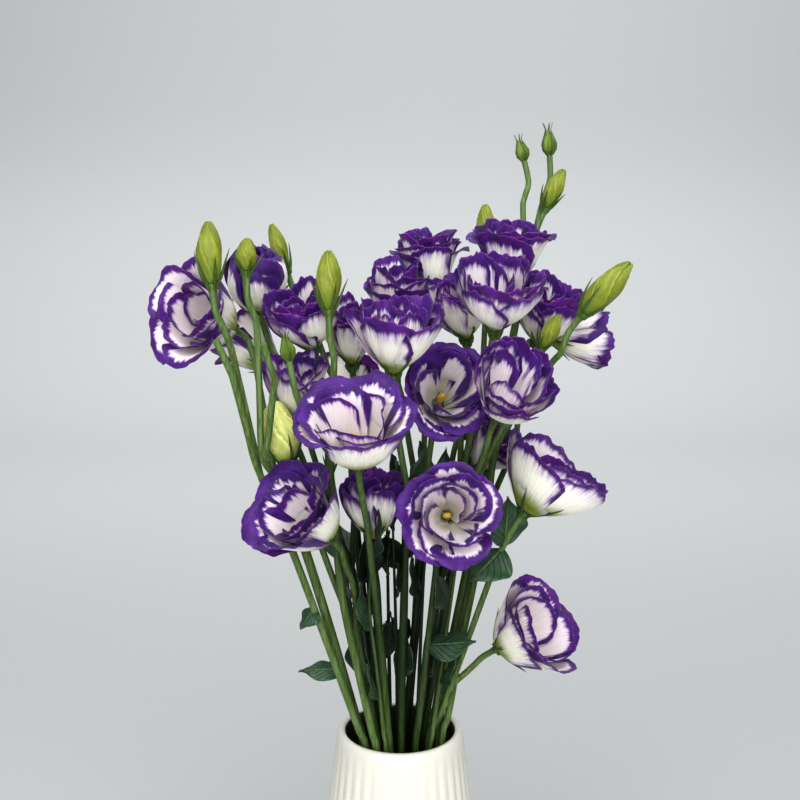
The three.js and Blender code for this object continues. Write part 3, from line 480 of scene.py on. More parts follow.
def clear_level(routes, level, obstacles):
    """Pushes the stems of one level clear of each other and of the flowers."""
    for i, a in enumerate(routes):
        if level >= len(a.xy):
            continue
        move_a = 1 if level <= a.free else 0
        stretch_a = stretch_at(a.xy, level)
        radius_a = stem_radius_at(a, level)
        for b in routes[i + 1:]:
            if level >= len(b.xy) or a.flower.spray == b.flower.spray:
                continue
            move_b = 1 if level <= b.free else 0
            if move_a + move_b == 0:
                continue
            stretch = max(stretch_a, stretch_at(b.xy, level))
            needed = (radius_a + stem_radius_at(b, level) + STEM_CLEARANCE) * stretch
            share = 0.5 / (move_a + move_b)
            push_apart(a.xy[level], b.xy[level], needed, move_a * share, move_b * share)
        if not move_a:
            continue
        for centre, reach, flower, spray in obstacles:
            if flower is a.flower or spray == a.flower.spray:
                continue
            needed = reach + (radius_a + BLOOM_CLEARANCE) * stretch_a
            push_apart(a.xy[level], list(centre), needed, 0.6, 0)


def settled_routes():
    """The routes bent clear of each other, each holding its x and y at every level."""
    routes = start_routes()
    balls = [(*ball, flower, False) for flower in FLOWERS for ball in balls_of(flower)]
    for route in routes:
        neck = [neck_point(route, k / 5) for k in range(6)]
        balls += [(point, PEDICEL_RADIUS, math.inf, route.flower, True) for point in neck]
    levels = range(1, max(len(route.xy) for route in routes))
    obstacles = {level: obstacles_at(height_of(level), balls) for level in levels}
    shared = [[r for r in routes if r.flower.spray == spray] for spray in SPRAYS]
    for round_number in range(SETTLING_ROUNDS):
        ease = mix(0.34, 0.04, round_number / SETTLING_ROUNDS)
        for route in routes:
            xy = route.xy
            for level in range(1, route.free):
                ease_point(xy[level], xy[level - 1], xy[level + 1], ease)
            ease_point(xy[route.free], xy[route.free - 1], route.neck, ease)
        for level in levels:
            clear_level(routes, level, obstacles[level])
        for own in shared:
            if len(own) < 2:
                continue
            for level in range(math.floor(own[0].fork) + 1):
                joined = [r for r in own if level <= r.free]
                for k in (0, 1):
                    mean = sum(r.xy[level][k] for r in joined) / len(joined)
                    for r in joined:
                        r.xy[level][k] = mean
    return routes


def level_point(route, level):
    return (*route.xy[level], height_of(level))


def shoot_points(routes, shoot):
    """A side shoot's points, bent clear of the stems."""
    spray, mouth, tip = shoot
    host = next(r for r in routes if r.flower.spray == spray)
    count = math.floor(level_of(tip[2]))
    xy = [[mix(mouth[k], tip[k], level / count) for k in (0, 1)] for level in range(count + 1)]
    for _ in range(SHOOT_ROUNDS):
        for level in range(1, count):
            ease_point(xy[level], xy[level - 1], xy[level + 1], 0.2)
        for level in range(count + 1):
            for route in routes:
                if level < len(route.xy):
                    room = stem_radius_at(route, level) + SHOOT_RADIUS + 0.5
                    needed = room * stretch_at(route.xy, level)
                    push_apart(xy[level], list(route.xy[level]), needed, 0.7, 0)
    start = [(*host.xy[0], STRAIGHT_TO - 8), (*host.xy[0], STRAIGHT_TO + 6)]
    return start + [(*p, height_of(level)) for level, p in enumerate(xy)]


# Help with objects and meshes


def deselect_all():
    if bpy.context.object and bpy.context.object.mode != "OBJECT":
        bpy.ops.object.mode_set(mode="OBJECT")
    bpy.ops.object.select_all(action="DESELECT")


def choose(*objects):
    deselect_all()
    for thing in objects:
        thing.select_set(True)
    bpy.context.view_layer.objects.active = objects[0]


def joined_piece(parts, name):
    """Joins the parts into one piece with its own name."""
    choose(*parts)
    if len(parts) > 1:
        bpy.ops.object.join()
    piece = bpy.context.object
    piece.name = name
    piece.data.name = name
    return piece


def finish_piece(piece, nodes):
    """Smooths a piece, ties it to the frame and lets it stand for its nodes."""
    choose(piece)
    bpy.ops.object.shade_smooth()
    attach(piece, "root")
    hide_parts(*nodes)


def vertex_places(mesh):
    places = np.empty(len(mesh.vertices) * 3)
    mesh.vertices.foreach_get("co", places)
    return places.reshape(-1, 3)


def move_vertices(mesh, places):
    mesh.vertices.foreach_set("co", np.ascontiguousarray(places, dtype=np.float32).ravel())
    mesh.update()


def paint_uv(mesh, name, pairs):
    """Gives the mesh a UV map from one pair of values a vertex."""
    layer = mesh.uv_layers.get(name) or mesh.uv_layers.new(name=name)
    corners = np.empty(len(mesh.loops), dtype=np.int32)
    mesh.loops.foreach_get("vertex_index", corners)
    layer.data.foreach_set("uv", np.ascontiguousarray(pairs[corners], dtype=np.float32).ravel())


def drop_uv(mesh):
    while mesh.uv_layers:
        mesh.uv_layers.remove(mesh.uv_layers[0])


def unit_ball(segments, rings):
    deselect_all()
    bpy.ops.mesh.primitive_uv_sphere_add(segments=segments, ring_count=rings, radius=1)
    drop_uv(bpy.context.object.data)
    return bpy.context.object


def ball_bearings(ball):
    """How far up each point of a ball is, from 0 to 1, and its angle round the axis."""
    places = vertex_places(ball.data)
    return np.arccos(np.clip(-places[:, 2], -1, 1)) / math.pi, np.arctan2(places[:, 1], places[:, 0])


def flat_grid(columns, rows):
    deselect_all()
    bpy.ops.mesh.primitive_grid_add(x_subdivisions=columns, y_subdivisions=rows, size=2)
    drop_uv(bpy.context.object.data)
    return bpy.context.object


def turned_to(axis):
    """The rotation that takes +Z to the axis the shortest way, as rows of numbers."""
    return np.array(Vector((0, 0, 1)).rotation_difference(Vector(axis)).to_matrix())


def placed(places, flower):
    """Takes places from a flower's own frame, in millimetres, to the row frame, in metres."""
    return (places @ turned_to(flower.axis).T + np.array(flower.base)) * MM


def flower_point(flower, angle, out, height):
    """A point round a flower's axis, out from it and up from its foot, in the row frame."""
    local = np.array((out * math.cos(angle), out * math.sin(angle), height))
    return tuple(turned_to(flower.axis) @ local + np.array(flower.base))


def thicken(piece, thickness, offset, slot_step=0):
    """Gives a sheet its thickness. Its far side takes the material that many slots on."""
    wall = piece.modifiers.new("Thickness", "SOLIDIFY")
    wall.thickness = thickness
    wall.offset = offset
    wall.material_offset = slot_step
    choose(piece)
    bpy.ops.object.modifier_apply(modifier=wall.name)


# Materials

# Colours that the settings leave fixed.
LILAC_WASH = (0.3, 0.18, 0.46, 1)
BROWN_SPECK = (0.2, 0.075, 0.03, 1)
PISTIL_YELLOW = (0.52, 0.42, 0.06, 1)
PISTIL_AMBER = (0.5, 0.2, 0.02, 1)
STEM_WAX = (0.12, 0.18, 0.09, 1)
STEM_SCRATCH = (0.01, 0.02, 0.008, 1)
# Painted shade on stems, calyxes and young buds deep in the bunch.
STEM_PAINTED_SHADE = (0.003, 0.011, 0.002, 1)
LEAF_RIB = (0.1, 0.18, 0.06, 1)
# Painted shade on leaves deep in the bunch.
LEAF_PAINTED_SHADE = (0.004, 0.012, 0.004, 1)
BUD_FOOT = (0.1, 0.18, 0.02, 1)
BUD_SEAM = (0.09, 0.16, 0.02, 1)
GLAZE_FLECK = (0.5, 0.47, 0.4, 1)
# Painted shade on the vase's inner wall.
VASE_PAINTED_SHADE = (0.05, 0.055, 0.04, 1)
PAPER_FIBRE = (0.3, 0.31, 0.32, 1)
STEM_FRESH = (0.11, 0.17, 0.06)
YOUNG_BUD = (0.07, 0.11, 0.012)
YOUNG_BUD_FRESH = (0.12, 0.175, 0.02)
CALYX_FRESH = (0.055, 0.092, 0.018)
# Sockets of the mix node that hold colours.
MIX_COLOUR_A = 6
MIX_COLOUR_B = 7
MIX_COLOUR_RESULT = 2


class Recipe:
    """A material's node tree with short ways to add and link nodes."""

    def __init__(self, name):
        self.material = bpy.data.materials.new(name)
        self.material.use_nodes = True
        self.tree = self.material.node_tree
        self.shader = self.tree.nodes["Principled BSDF"]

    def add(self, kind, **settings):
        node = self.tree.nodes.new("ShaderNode" + kind)
        for key, value in settings.items():
            setattr(node, key, value)
        return node

    def link(self, output, node_input):
        self.tree.links.new(output, node_input)

    def feed(self, node_input, value):
        if isinstance(value, bpy.types.NodeSocket):
            self.link(value, node_input)
        else:
            node_input.default_value = value

    def uv(self, name):
        return self.add("UVMap", uv_map=name).outputs["UV"]

    def own_place(self):
        return self.add("TexCoord").outputs["Object"]

    def split(self, vector):
        node = self.add("SeparateXYZ")
        self.link(vector, node.inputs[0])
        return node.outputs

    def scaled(self, vector, scale):
        node = self.add("Mapping")
        self.link(vector, node.inputs["Vector"])
        node.inputs["Scale"].default_value = scale
        return node.outputs["Vector"]

    def noise(self, vector, scale=1.0, detail=3.0, roughness=0.5):
        node = self.add("TexNoise")
        self.link(vector, node.inputs["Vector"])
        node.inputs["Scale"].default_value = scale
        node.inputs["Detail"].default_value = detail
        node.inputs["Roughness"].default_value = roughness
        return node.outputs["Fac"]

    def math(self, operation, a, b=0.0):
        node = self.add("Math", operation=operation)
        self.feed(node.inputs[0], a)
        self.feed(node.inputs[1], b)
        return node.outputs[0]

    def times(self, a, b):
        return self.math("MULTIPLY", a, b)

    def plus(self, a, b):
        return self.math("ADD", a, b)

    def minus(self, a, b):
        return self.math("SUBTRACT", a, b)

    def span(self, value, low, high, first=0.0, last=1.0):
        """A smooth step of the value from low to high."""
        node = self.add("MapRange", interpolation_type="SMOOTHSTEP")
        keys = ("Value", "From Min", "From Max", "To Min", "To Max")
        for key, given in zip(keys, (value, low, high, first, last)):
            self.feed(node.inputs[key], given)
        return node.outputs["Result"]

    def blend(self, share, a, b):
        node = self.add("Mix", data_type="RGBA")
        self.feed(node.inputs[0], share)
        self.feed(node.inputs[MIX_COLOUR_A], a)
        self.feed(node.inputs[MIX_COLOUR_B], b)
        return node.outputs[MIX_COLOUR_RESULT]

    def finish(self, colour, bump, depth, roughness=None, **values):
        self.link(colour, self.shader.inputs["Base Color"])
        if roughness is not None:
            self.feed(self.shader.inputs["Roughness"], roughness)
        node = self.add("Bump")
        node.inputs["Strength"].default_value = 1
        node.inputs["Distance"].default_value = depth
        self.link(bump, node.inputs["Height"])
        self.link(node.outputs["Normal"], self.shader.inputs["Normal"])
        for key, value in values.items():
            self.shader.inputs[key.replace("_", " ")].default_value = value
        return self.material


def opaque(colour, scale=1.0):
    return (*[min(1, c * scale) for c in colour], 1)


def petal_material(name, ground, settings, back):
    """White petal with a brushed purple margin; the back is creamier and greener at its foot."""
    r = Recipe(name)
    grain = r.uv("grain")
    distance, ahead, _ = r.split(r.uv("margin"))
    paint = r.split(r.uv("paint"))[1 if back else 0]
    brush = r.noise(r.scaled(grain, (24, 2.0, 1)), detail=4, roughness=0.6)
    lobe = r.noise(r.scaled(grain, (7, 1.4, 1)), detail=1)
    uneven = r.plus(r.times(r.minus(brush, 0.5), 0.4),
                    r.times(r.minus(lobe, 0.5), 0.5))
    uneven = r.times(uneven, r.span(paint, 0.0, 1.2, 0.35, 1.1))
    edge = r.plus(r.times(paint, settings.margin_width / (MARGIN_UNIT * MM)), uneven)
    soft = 0.1 if back else 0.07
    painted = r.span(distance, r.minus(edge, soft), r.plus(edge, soft), 1, 0)
    wash = r.span(distance, edge, r.plus(edge, 0.62 if back else 0.22), 1, 0)
    cloud = r.noise(r.scaled(grain, (4, 4, 1)), detail=5, roughness=0.6)
    veins = r.noise(r.scaled(grain, (46, 1.6, 1)), detail=2)
    deep = r.blend(r.span(cloud, 0.35, 0.7), opaque(settings.margin, 0.6), opaque(settings.margin, 1.3))
    pale = r.blend(r.span(veins, 0.42, 0.72), opaque(ground), opaque(ground, 0.9))
    foot = r.span(r.plus(ahead, r.times(r.minus(veins, 0.5), 0.3)), 0.28, 0.56, 1, 0)
    pale = r.blend(r.times(foot, 1.0 if back else 0.45), pale, opaque(settings.foot))
    washed = r.times(r.times(wash, wash), r.span(brush, 0.35, 0.62, 0.2, 0.8))
    pale = r.blend(washed, pale, LILAC_WASH)
    colour = r.blend(painted, pale, deep)
    speck = r.times(r.span(r.noise(r.scaled(grain, (26, 26, 1)), detail=1), 0.66, 0.7),
                   r.span(distance, 0.02, 0.09, 1, 0))
    colour = r.blend(speck, colour, BROWN_SPECK)
    crinkle = r.plus(r.times(veins, 0.7), r.times(cloud, 0.5))
    return r.finish(colour, crinkle, 0.0006, roughness=0.52, Subsurface_Weight=0.4, Subsurface_Scale=0.003,
                    Subsurface_Radius=(1, 0.75, 0.85), Sheen_Weight=0.06, Sheen_Roughness=0.5,
                    Specular_IOR_Level=0.22)


def heart_material():
    """Amber and yellow-green of the pistil."""
    r = Recipe("pistil")
    place = r.own_place()
    mottle = r.noise(place, scale=900, detail=3)
    colour = r.blend(r.span(mottle, 0.4, 0.62), PISTIL_YELLOW, PISTIL_AMBER)
    return r.finish(colour, mottle, 0.0004, roughness=0.5, Subsurface_Weight=0.1, Subsurface_Scale=0.001)


def unshaded_share(r, low):
    """Share of a part's own colour that painted shade leaves: one at the bunch's outer side and among its
    flowers, down to the low value deep between its stems.
    """
    x, y, z = r.split(r.own_place())
    radius = r.math("SQRT", r.plus(r.times(x, x), r.times(y, y)))
    bunch = r.plus(r.times(r.math("MAXIMUM", r.minus(z, 0.196), 0.0), 0.36), 0.026)
    outside = r.span(r.math("DIVIDE", radius, bunch), 0.4, 1.0, low, 1)
    return r.math("MAXIMUM", outside, r.span(z, 0.3, 0.42, low, 1))


def stem_material(name, colour, fresh):
    """Waxy green with faint lengthwise streaks and dark scratches, and painted shade that darkens it deep
    inside the bunch.
    """
    r = Recipe(name)
    place = r.own_place()
    # Share of the colour that painted shade leaves, low deep inside the bunch.
    outer = unshaded_share(r, 0.04)
    scratch = r.span(r.noise(r.scaled(place, (1500, 1500, 160)), detail=1), 0.7, 0.74)
    streak = r.noise(r.scaled(place, (700, 700, 16)), detail=3)
    bloom_wax = r.noise(place, scale=55, detail=4, roughness=0.6)
    ground = r.blend(r.span(streak, 0.35, 0.7), opaque(colour), opaque(fresh))
    ground = r.blend(r.times(r.span(bloom_wax, 0.45, 0.7), 0.25), ground, STEM_WAX)
    ground = r.blend(r.times(scratch, 0.7), ground, STEM_SCRATCH)
    # Painted shade: the stem turns dark deep inside the bunch.
    ground = r.blend(outer, STEM_PAINTED_SHADE, ground)
    rough = r.span(bloom_wax, 0.3, 0.7, 0.36, 0.56)
    return r.finish(ground, streak, 0.00025, roughness=rough, Specular_IOR_Level=0.2)


def leaf_material(colour):
    """Matt grey-green leaf with a pale midrib and side veins that run out to the edge, and painted shade
    that darkens it deep inside the bunch.
    """
    r = Recipe("leaf")
    across, ahead, _ = r.split(r.uv("grain"))
    side = r.math("ABSOLUTE", across)
    rib = r.span(side, 0.02, 0.09, 1, 0)
    slant = r.minus(ahead, r.times(side, 0.45))
    vein = r.math("ABSOLUTE", r.math("SINE", r.times(slant, 20)))
    vein = r.span(vein, 0.0, 0.3, 1, 0)
    mottle = r.noise(r.own_place(), scale=130, detail=4)
    ground = r.blend(r.span(mottle, 0.35, 0.68), opaque(colour, 0.8), opaque(colour, 1.5))
    ground = r.blend(r.times(vein, 0.16), ground, opaque(colour, 2.4))
    ground = r.blend(r.times(rib, 0.7), ground, LEAF_RIB)
    # Painted shade: the leaf turns dark deep inside the bunch.
    ground = r.blend(unshaded_share(r, 0.1), LEAF_PAINTED_SHADE, ground)
    relief = r.minus(r.times(mottle, 0.5), r.plus(vein, rib))
    return r.finish(ground, relief, 0.0005, roughness=0.5, Subsurface_Weight=0.05, Subsurface_Scale=0.001)


def bud_material(name, colour):
    """Yellow-green wound petals, paler along their edges and greener at the foot."""
    r = Recipe(name)
    grain = r.uv("grain")
    across, ahead, _ = r.split(r.uv("margin"))
    veins = r.noise(r.scaled(grain, (24, 1.5, 1)), detail=3)
    cloud = r.noise(r.scaled(grain, (3, 3, 1)), detail=3)
    ground = r.blend(r.span(veins, 0.35, 0.7), opaque(colour, 0.8), opaque(colour, 1.12))
    ground = r.blend(r.times(r.span(cloud, 0.4, 0.7), 0.5), ground, opaque(colour, 1.5))
    ground = r.blend(r.span(ahead, 0.02, 0.4, 0.8, 0), ground, BUD_FOOT)
    ground = r.blend(r.span(across, 0.8, 0.98, 0, 0.6), ground, opaque(colour, 1.8))
    ground = r.blend(r.span(across, 0.0, 0.14, 0.7, 0), ground, BUD_SEAM)
    return r.finish(ground, veins, 0.0004, roughness=0.45, Subsurface_Weight=0.12, Subsurface_Scale=0.002)


def glaze_material(colour):
    """White glaze, a little greyer in the grooves, with fine flecks and a clear shine, and painted shade
    that darkens the inner wall.
    """
    r = Recipe("white_glaze")
    fleck = r.noise(r.own_place(), scale=900, detail=2)
    groove, inside, _ = r.split(r.uv("margin"))
    groove = r.span(groove, 0.3, 1.0)
    ground = r.blend(r.times(groove, 0.3), opaque(colour, 0.98), opaque(colour, 0.86))
    ground = r.blend(r.span(fleck, 0.74, 0.78, 0, 0.2), ground, GLAZE_FLECK)
    # Painted shade darkens the inner wall.
    ground = r.blend(r.span(inside, 0.5, 0.9), ground, VASE_PAINTED_SHADE)
    return r.finish(ground, groove, 0.00002, Roughness=0.28, Coat_Weight=0.25, Coat_Roughness=0.2,
                    Specular_IOR_Level=0.5)


def water_material(colour):
    """Clear still water."""
    r = Recipe("vase_water")
    ripple = r.noise(r.own_place(), scale=14, detail=2)
    tint = r.blend(r.span(ripple, 0.3, 0.7), opaque(colour), opaque(colour, 0.96))
    return r.finish(tint, ripple, 0.0004, roughness=0.02, Transmission_Weight=1, IOR=1.333)


# Petals


def bezier(controls, t):
    s = 1 - t
    return [s**3 * a + 3 * s * s * t * b + 3 * s * t * t * c + t**3 * d for a, b, c, d in zip(*controls)]


def mixed_profile(form, other, share):
    """A form's profile, blended towards another's for inner layers."""
    return [(mix(a[0], b[0], share), mix(a[1], b[1], share)) for a, b in zip(FORMS[form], FORMS[other])]


def ripples(rng, u, waves):
    """A sum of waves across a petal: pairs of how many radians they run to the edge, and their height."""
    total = 0
    for run, height in waves:
        total = total + height * np.sin(u * run * rng.uniform(0.8, 1.25) + rng.uniform(0, 6.28))
    return total


def petal_shape(flower, layer, order, across, ahead, rng, ruffle):
    """One petal's places in the flower's own frame, and its maps of margin, grain and paint."""
    size = flower.radius / 25
    inner = (1 - layer.reach) * flower.spacing
    layer_reach = 1 - inner
    middle = (order + layer.turn) * 2 * math.pi / layer.count + flower.turn * 0.05 + rng.uniform(-0.1, 0.1)
    outward_now = turned_to(flower.axis) @ np.array((math.cos(middle), math.sin(middle), 0))
    # The outer petals on the viewer's side stand up and show their backs. Those that point down may hang.
    lifted = 0
    if flower.form == "open" and not inner:
        lifted = float(np.clip((-outward_now[1] - 0.35) * 2.2, 0, 1))
    hanging = 1 + (flower.hang - 1) * float(np.clip(-outward_now[2] * 1.6, 0, 1)) * max(0, 1 - 3 * inner)
    u = across
    v = PETAL_START + (1 - PETAL_START) * (1 - (1 - ahead) ** 1.35)
    slope = rng.uniform(-0.09, 0.09)
    nicks = ripples(rng, u, ((6, 0.014), (14, 0.011), (27, 0.008)))
    outline = 1.02 - (TIP_ROUND + 0.08 * inner) * np.abs(u) ** 2.3 + slope * u + nicks * v**6
    reach = v * outline
    if flower.form == "half":
        profile = mixed_profile("half", "closing", min(1, inner * 2.5))
    else:
        profile = mixed_profile(flower.form, "upright", max(layer.upright * flower.spacing, 0.7 * lifted))
    crown = mix(1, 0.86 if flower.form == "funnel" else flower.crown, min(1, inner * 4))
    depth = flower.depth * layer.rise * crown * (1 + rng.uniform(-0.07, 0.04)) * (1 + 0.1 * lifted)
    breadth = flower.radius * layer_reach * (1 + rng.uniform(-0.05, 0.05) * (1 + 2 * inner)) * hanging
    r, z = bezier(profile, reach)
    r2, z2 = bezier(profile, reach + 0.02)
    run = (r2 - r) * breadth
    rise = (z2 - z) * depth
    slant = np.hypot(run, rise) + 1e-9
    outward, upward = rise / slant, -run / slant
    free = np.clip((reach - 0.4) / 0.6, 0, 1)
    rim = np.clip((reach - 0.72) / 0.28, 0, 1)
    sway = rng.uniform(-1, 1)
    lean = rng.uniform(-0.12, 0.3) * min(1, inner * 2.5)
    curl = rng.uniform(0, 1) ** 2 * (3.4 if flower.form in ("cup", "funnel") else 1.8) * (1 - 0.7 * inner)
    wave = free**1.4 * ripples(rng, u, ((2.2, 1.7), (4.2, 0.7))) * (1 + inner)
    wave += rim**2 * ripples(rng, u, ((7, 0.6), (14, 0.3), (24, 0.13)))
    wave += free * ripples(rng, u, ((10, 0.12), (19, 0.06)))
    wave *= ruffle * size * flower.ruffle
    wave += free * (sway + 0.9) * 1.5 * u - rng.uniform(-0.4, 1) * inner * 3.0 * free * (1 - u * u)
    half = layer.half * (1 + rng.uniform(-0.06, 0.06))
    angle = middle + u * half + rng.uniform(-0.09, 0.09) * (1 + inner) * free
    shingle = SHINGLE * u * np.minimum(1, reach * 4) * (0.4 + 0.6 * layer_reach)
    spread = r * breadth * (1 - lean * free**1.5) + shingle + wave * outward + curl * rim**2 * 0.9
    height = z * depth + wave * upward - curl * rim**3 * 0.7 - (hanging - 1) * depth * reach**3 * 0.9
    spread = np.maximum(spread, 0.4)
    shift = flower.radius * inner * 1.4 * free
    x = spread * np.cos(angle) + shift * flower.hollow[0]
    y = spread * np.sin(angle) * flower.oval + shift * flower.hollow[1]
    length = math.hypot(flower.radius * layer_reach, depth) * 1.12
    top = (1 - v) * length
    side = (1 - np.abs(u)) * half * np.maximum(spread, 1) * 1.25 + np.maximum(0, 0.72 - v) * 26 + 1.5
    distance = np.minimum(top, side) / MARGIN_UNIT
    paint_inside = rng.uniform(0.75, 1.25) * layer.paint[0] * flower.paint
    paint_back = rng.uniform(0.5, 1.4) * layer.paint[1] * flower.paint
    grain = np.stack((u * half * flower.radius * 0.8 / GRAIN_UNIT, v * length / GRAIN_UNIT), axis=1)
    grain = grain + np.array((rng.uniform(0, 40), rng.uniform(0, 40)))
    places = np.stack((x, y, height), axis=1)
    margin = np.stack((distance, v / flower.green), axis=1)
    paint = np.full((len(v), 2), (paint_inside, paint_back))
    return places, {"margin": margin, "grain": grain, "paint": paint}


def petal_grids():
    """One flat grid for each layer, to be copied for its petals."""
    return [flat_grid(columns, rows) for columns, rows in PETAL_GRIDS]


def copied(thing):
    """A copy with its own mesh."""
    twin = thing.copy()
    twin.data = thing.data.copy()
    bpy.context.collection.objects.link(twin)
    return twin


def pistil(flower):
    """The pistil deep in a bloom: a slim body that swells to a two-lobed head."""
    piece = unit_ball(14, 10)
    places = vertex_places(piece.data)
    t = (places[:, 2] + 1) / 2
    lobes = 1 + 0.3 * (places[:, 0] ** 2 - places[:, 1] ** 2) * (t > 0.6)
    spread = (1.5 + 0.9 * t) * lobes
    tall = 0.2 if flower.layers > 3 else 0.5
    height = flower.depth * (0.06 + tall * t)
    places = np.stack((places[:, 0] * spread, places[:, 1] * spread, height), axis=1)
    move_vertices(piece.data, placed(places, flower))
    for name in ("margin", "grain", "paint"):
        paint_uv(piece.data, name, places[:, :2])
    return piece


def model_bloom(flower, grids, settings, materials, seed):
    """One bloom: layers of overlapping petals round a pistil."""
    rng = random.Random(seed)
    petals = []
    if flower.crown > 1:
        layers = CROWNED_LAYERS
    else:
        layers = OPEN_LAYERS if flower.form in ("open", "bowl") else CUP_LAYERS
    for layer, grid in zip(layers[:flower.layers], grids):
        for order in range(layer.count):
            petal = copied(grid)
            flat = vertex_places(petal.data)
            ahead = (flat[:, 1] + 1) / 2
            places, maps = petal_shape(flower, layer, order, flat[:, 0], ahead, rng, settings.ruffle)
            move_vertices(petal.data, placed(places, flower))
            for name, pairs in maps.items():
                paint_uv(petal.data, name, pairs)
            petals.append(petal)
    piece = joined_piece(petals, flower.name.replace("bloom_", "petals_"))
    for material in materials[:2]:
        piece.data.materials.append(material)
    thicken(piece, settings.thickness, -1, 1)
    heart = pistil(flower)
    heart.data.materials.append(materials[2])
    piece = joined_piece([piece, heart], piece.name)
    finish_piece(piece, [flower.name])


# Buds

BUD_PETALS = 5
# Radius and height of a bud from its foot to its tip, as shares of its own.
BUD_OUTLINE = [
    (0.0, 0), (0.4, 0.0), (0.6, 0.07), (0.78, 0.17), (0.92, 0.3), (1, 0.44),
    (0.98, 0.57), (0.87, 0.7), (0.68, 0.82), (0.46, 0.92), (0.26, 0.985), (0, 1),
]
GREEN_BUD_OUTLINE = [
    (0, -0.04), (0.42, 0.03), (0.74, 0.13), (0.96, 0.27), (1, 0.4),
    (0.86, 0.56), (0.58, 0.75), (0.3, 0.9), (0.12, 0.98), (0, 1),
]


def outline_at(t, outline):
    """Radius and height along an outline, for t from 0 to 1."""
    stations = np.linspace(0, 1, len(outline))
    return np.interp(t, stations, [p[0] for p in outline]), np.interp(t, stations, [p[1] for p in outline])


def model_bud(flower, material, seed):
    """A spindle of five petals wound round each other."""
    rng = random.Random(seed)
    piece = unit_ball(60, 34)
    t, angle = ball_bearings(piece)
    r, z = outline_at(t, BUD_OUTLINE)
    twist = 1.5 + rng.uniform(-0.2, 0.3)
    turns = (angle + twist * z + rng.uniform(0, 1)) / (2 * math.pi) * BUD_PETALS
    across = turns - np.floor(turns)
    body = np.clip(z * 4, 0, 1)
    edge = across**3 - 0.25
    wrap = 1 + body * (0.11 * edge + 0.03 * np.sin(across * 9))
    lean = 0.05 * flower.length * z**2
    spread = r * flower.radius * wrap
    tip = 1 + 0.05 * np.where(z > 0.8, (across - 0.5) * 1.2, 0)
    height = z * flower.length * tip
    places = np.stack((spread * np.cos(angle) + lean, spread * np.sin(angle), height), axis=1)
    move_vertices(piece.data, placed(places, flower))
    paint_uv(piece.data, "margin", np.stack((across, z), axis=1))
    paint_uv(piece.data, "grain", np.stack((across + rng.uniform(0, 9), z * 2), axis=1))
    piece.data.materials.append(material)
    piece.name = flower.name.replace("bud_", "wound_bud_")
    finish_piece(piece, [flower.name])


# Stems and their green parts


def smooth_path(points, step):
    """Points of one smooth curve through the given ones, about a step apart."""
    path = []
    ends = [points[0], *points, points[-1]]
    for a, b, c, d in zip(ends, ends[1:], ends[2:], ends[3:]):
        count = max(1, round(math.dist(b, c) / step))
        for i in range(count):
            t = i / count
            path.append(tuple(
                0.5 * (2 * b[k] + (c[k] - a[k]) * t + (2 * a[k] - 5 * b[k] + 4 * c[k] - d[k]) * t * t
                       + (3 * b[k] - a[k] - 3 * c[k] + d[k]) * t**3)
                for k in range(3)))
    return [*path, points[-1]]


def add_tube(curve, path, radii):
    """Adds a tube to a curve: its path in millimetres with a radius at each point."""
    spline = curve.splines.new("POLY")
    spline.points.add(len(path) - 1)
    spline.points.foreach_set("co", [value for p in path for value in (*(c * MM for c in p), 1)])
    spline.points.foreach_set("radius", radii)


def new_tubes(name, sides):
    curve = bpy.data.curves.new(name, "CURVE")
    curve.dimensions = "3D"
    curve.bevel_depth = MM
    curve.bevel_resolution = (sides - 4) // 2
    curve.use_fill_caps = True
    return curve


def tubes_as_mesh(curve, material):
    """Turns the tubes into one mesh object."""
    thing = bpy.data.objects.new(curve.name, curve)
    bpy.context.collection.objects.link(thing)
    choose(thing)
    bpy.ops.object.convert(target="MESH")
    piece = bpy.context.object
    piece.data.materials.clear()
    piece.data.materials.append(material)
    drop_uv(piece.data)
    return piece


def seat_radius(flower):
    return RECEPTACLE_RADIUS if flower.kind == "bloom" else max(2.6, flower.radius * 0.5)


def stem_points(route, start, level):
    """A stem from its first points up through the levels and the neck."""
    points = list(start) + [level_point(route, i) for i in range(level, route.free + 1)]
    if len(points) > 1 and math.dist(points[-1], route.neck) < LEVEL_STEP * 0.5:
        points.pop()
    return points + [neck_point(route, k / 4) for k in range(5)]


def add_stem(curve, route, points, low, high):
    """One stem: thicker up to its fork, with a small joint there, and a flare that carries the flower."""
    flower = route.flower
    fork = height_of(route.fork)
    path = smooth_path(points, 5)
    radii = []
    for p in path:
        share = min(1, max(0, (p[2] - fork + 6) / 12))
        joint = 0.35 * math.exp(-(((p[2] - fork) / 4) ** 2))
        radii.append(mix(low, high, share) + joint)
    if flower.kind in ("bloom", "bud"):
        seat = seat_radius(flower)
        for back, share in ((6.4, 0.04), (5, 0.16), (3.6, 0.4), (2.2, 0.7), (0.9, 0.92), (0.1, 1)):
            path.append(along(flower.base, flower.axis, -back))
            radii.append(mix(high, seat, share))
    elif flower.kind == "green_bud":
        path.append(along(flower.base, flower.axis, 1.5))
        radii.append(high)
    add_tube(curve, path, radii)


def skin_radius(flower, height):
    """Outer radius of a bloom's cup at a height above its foot."""
    t = np.linspace(0, 1, 60)
    r, z = bezier(FORMS[flower.form], t)
    return float(np.interp(height, z * flower.depth, r * flower.radius))


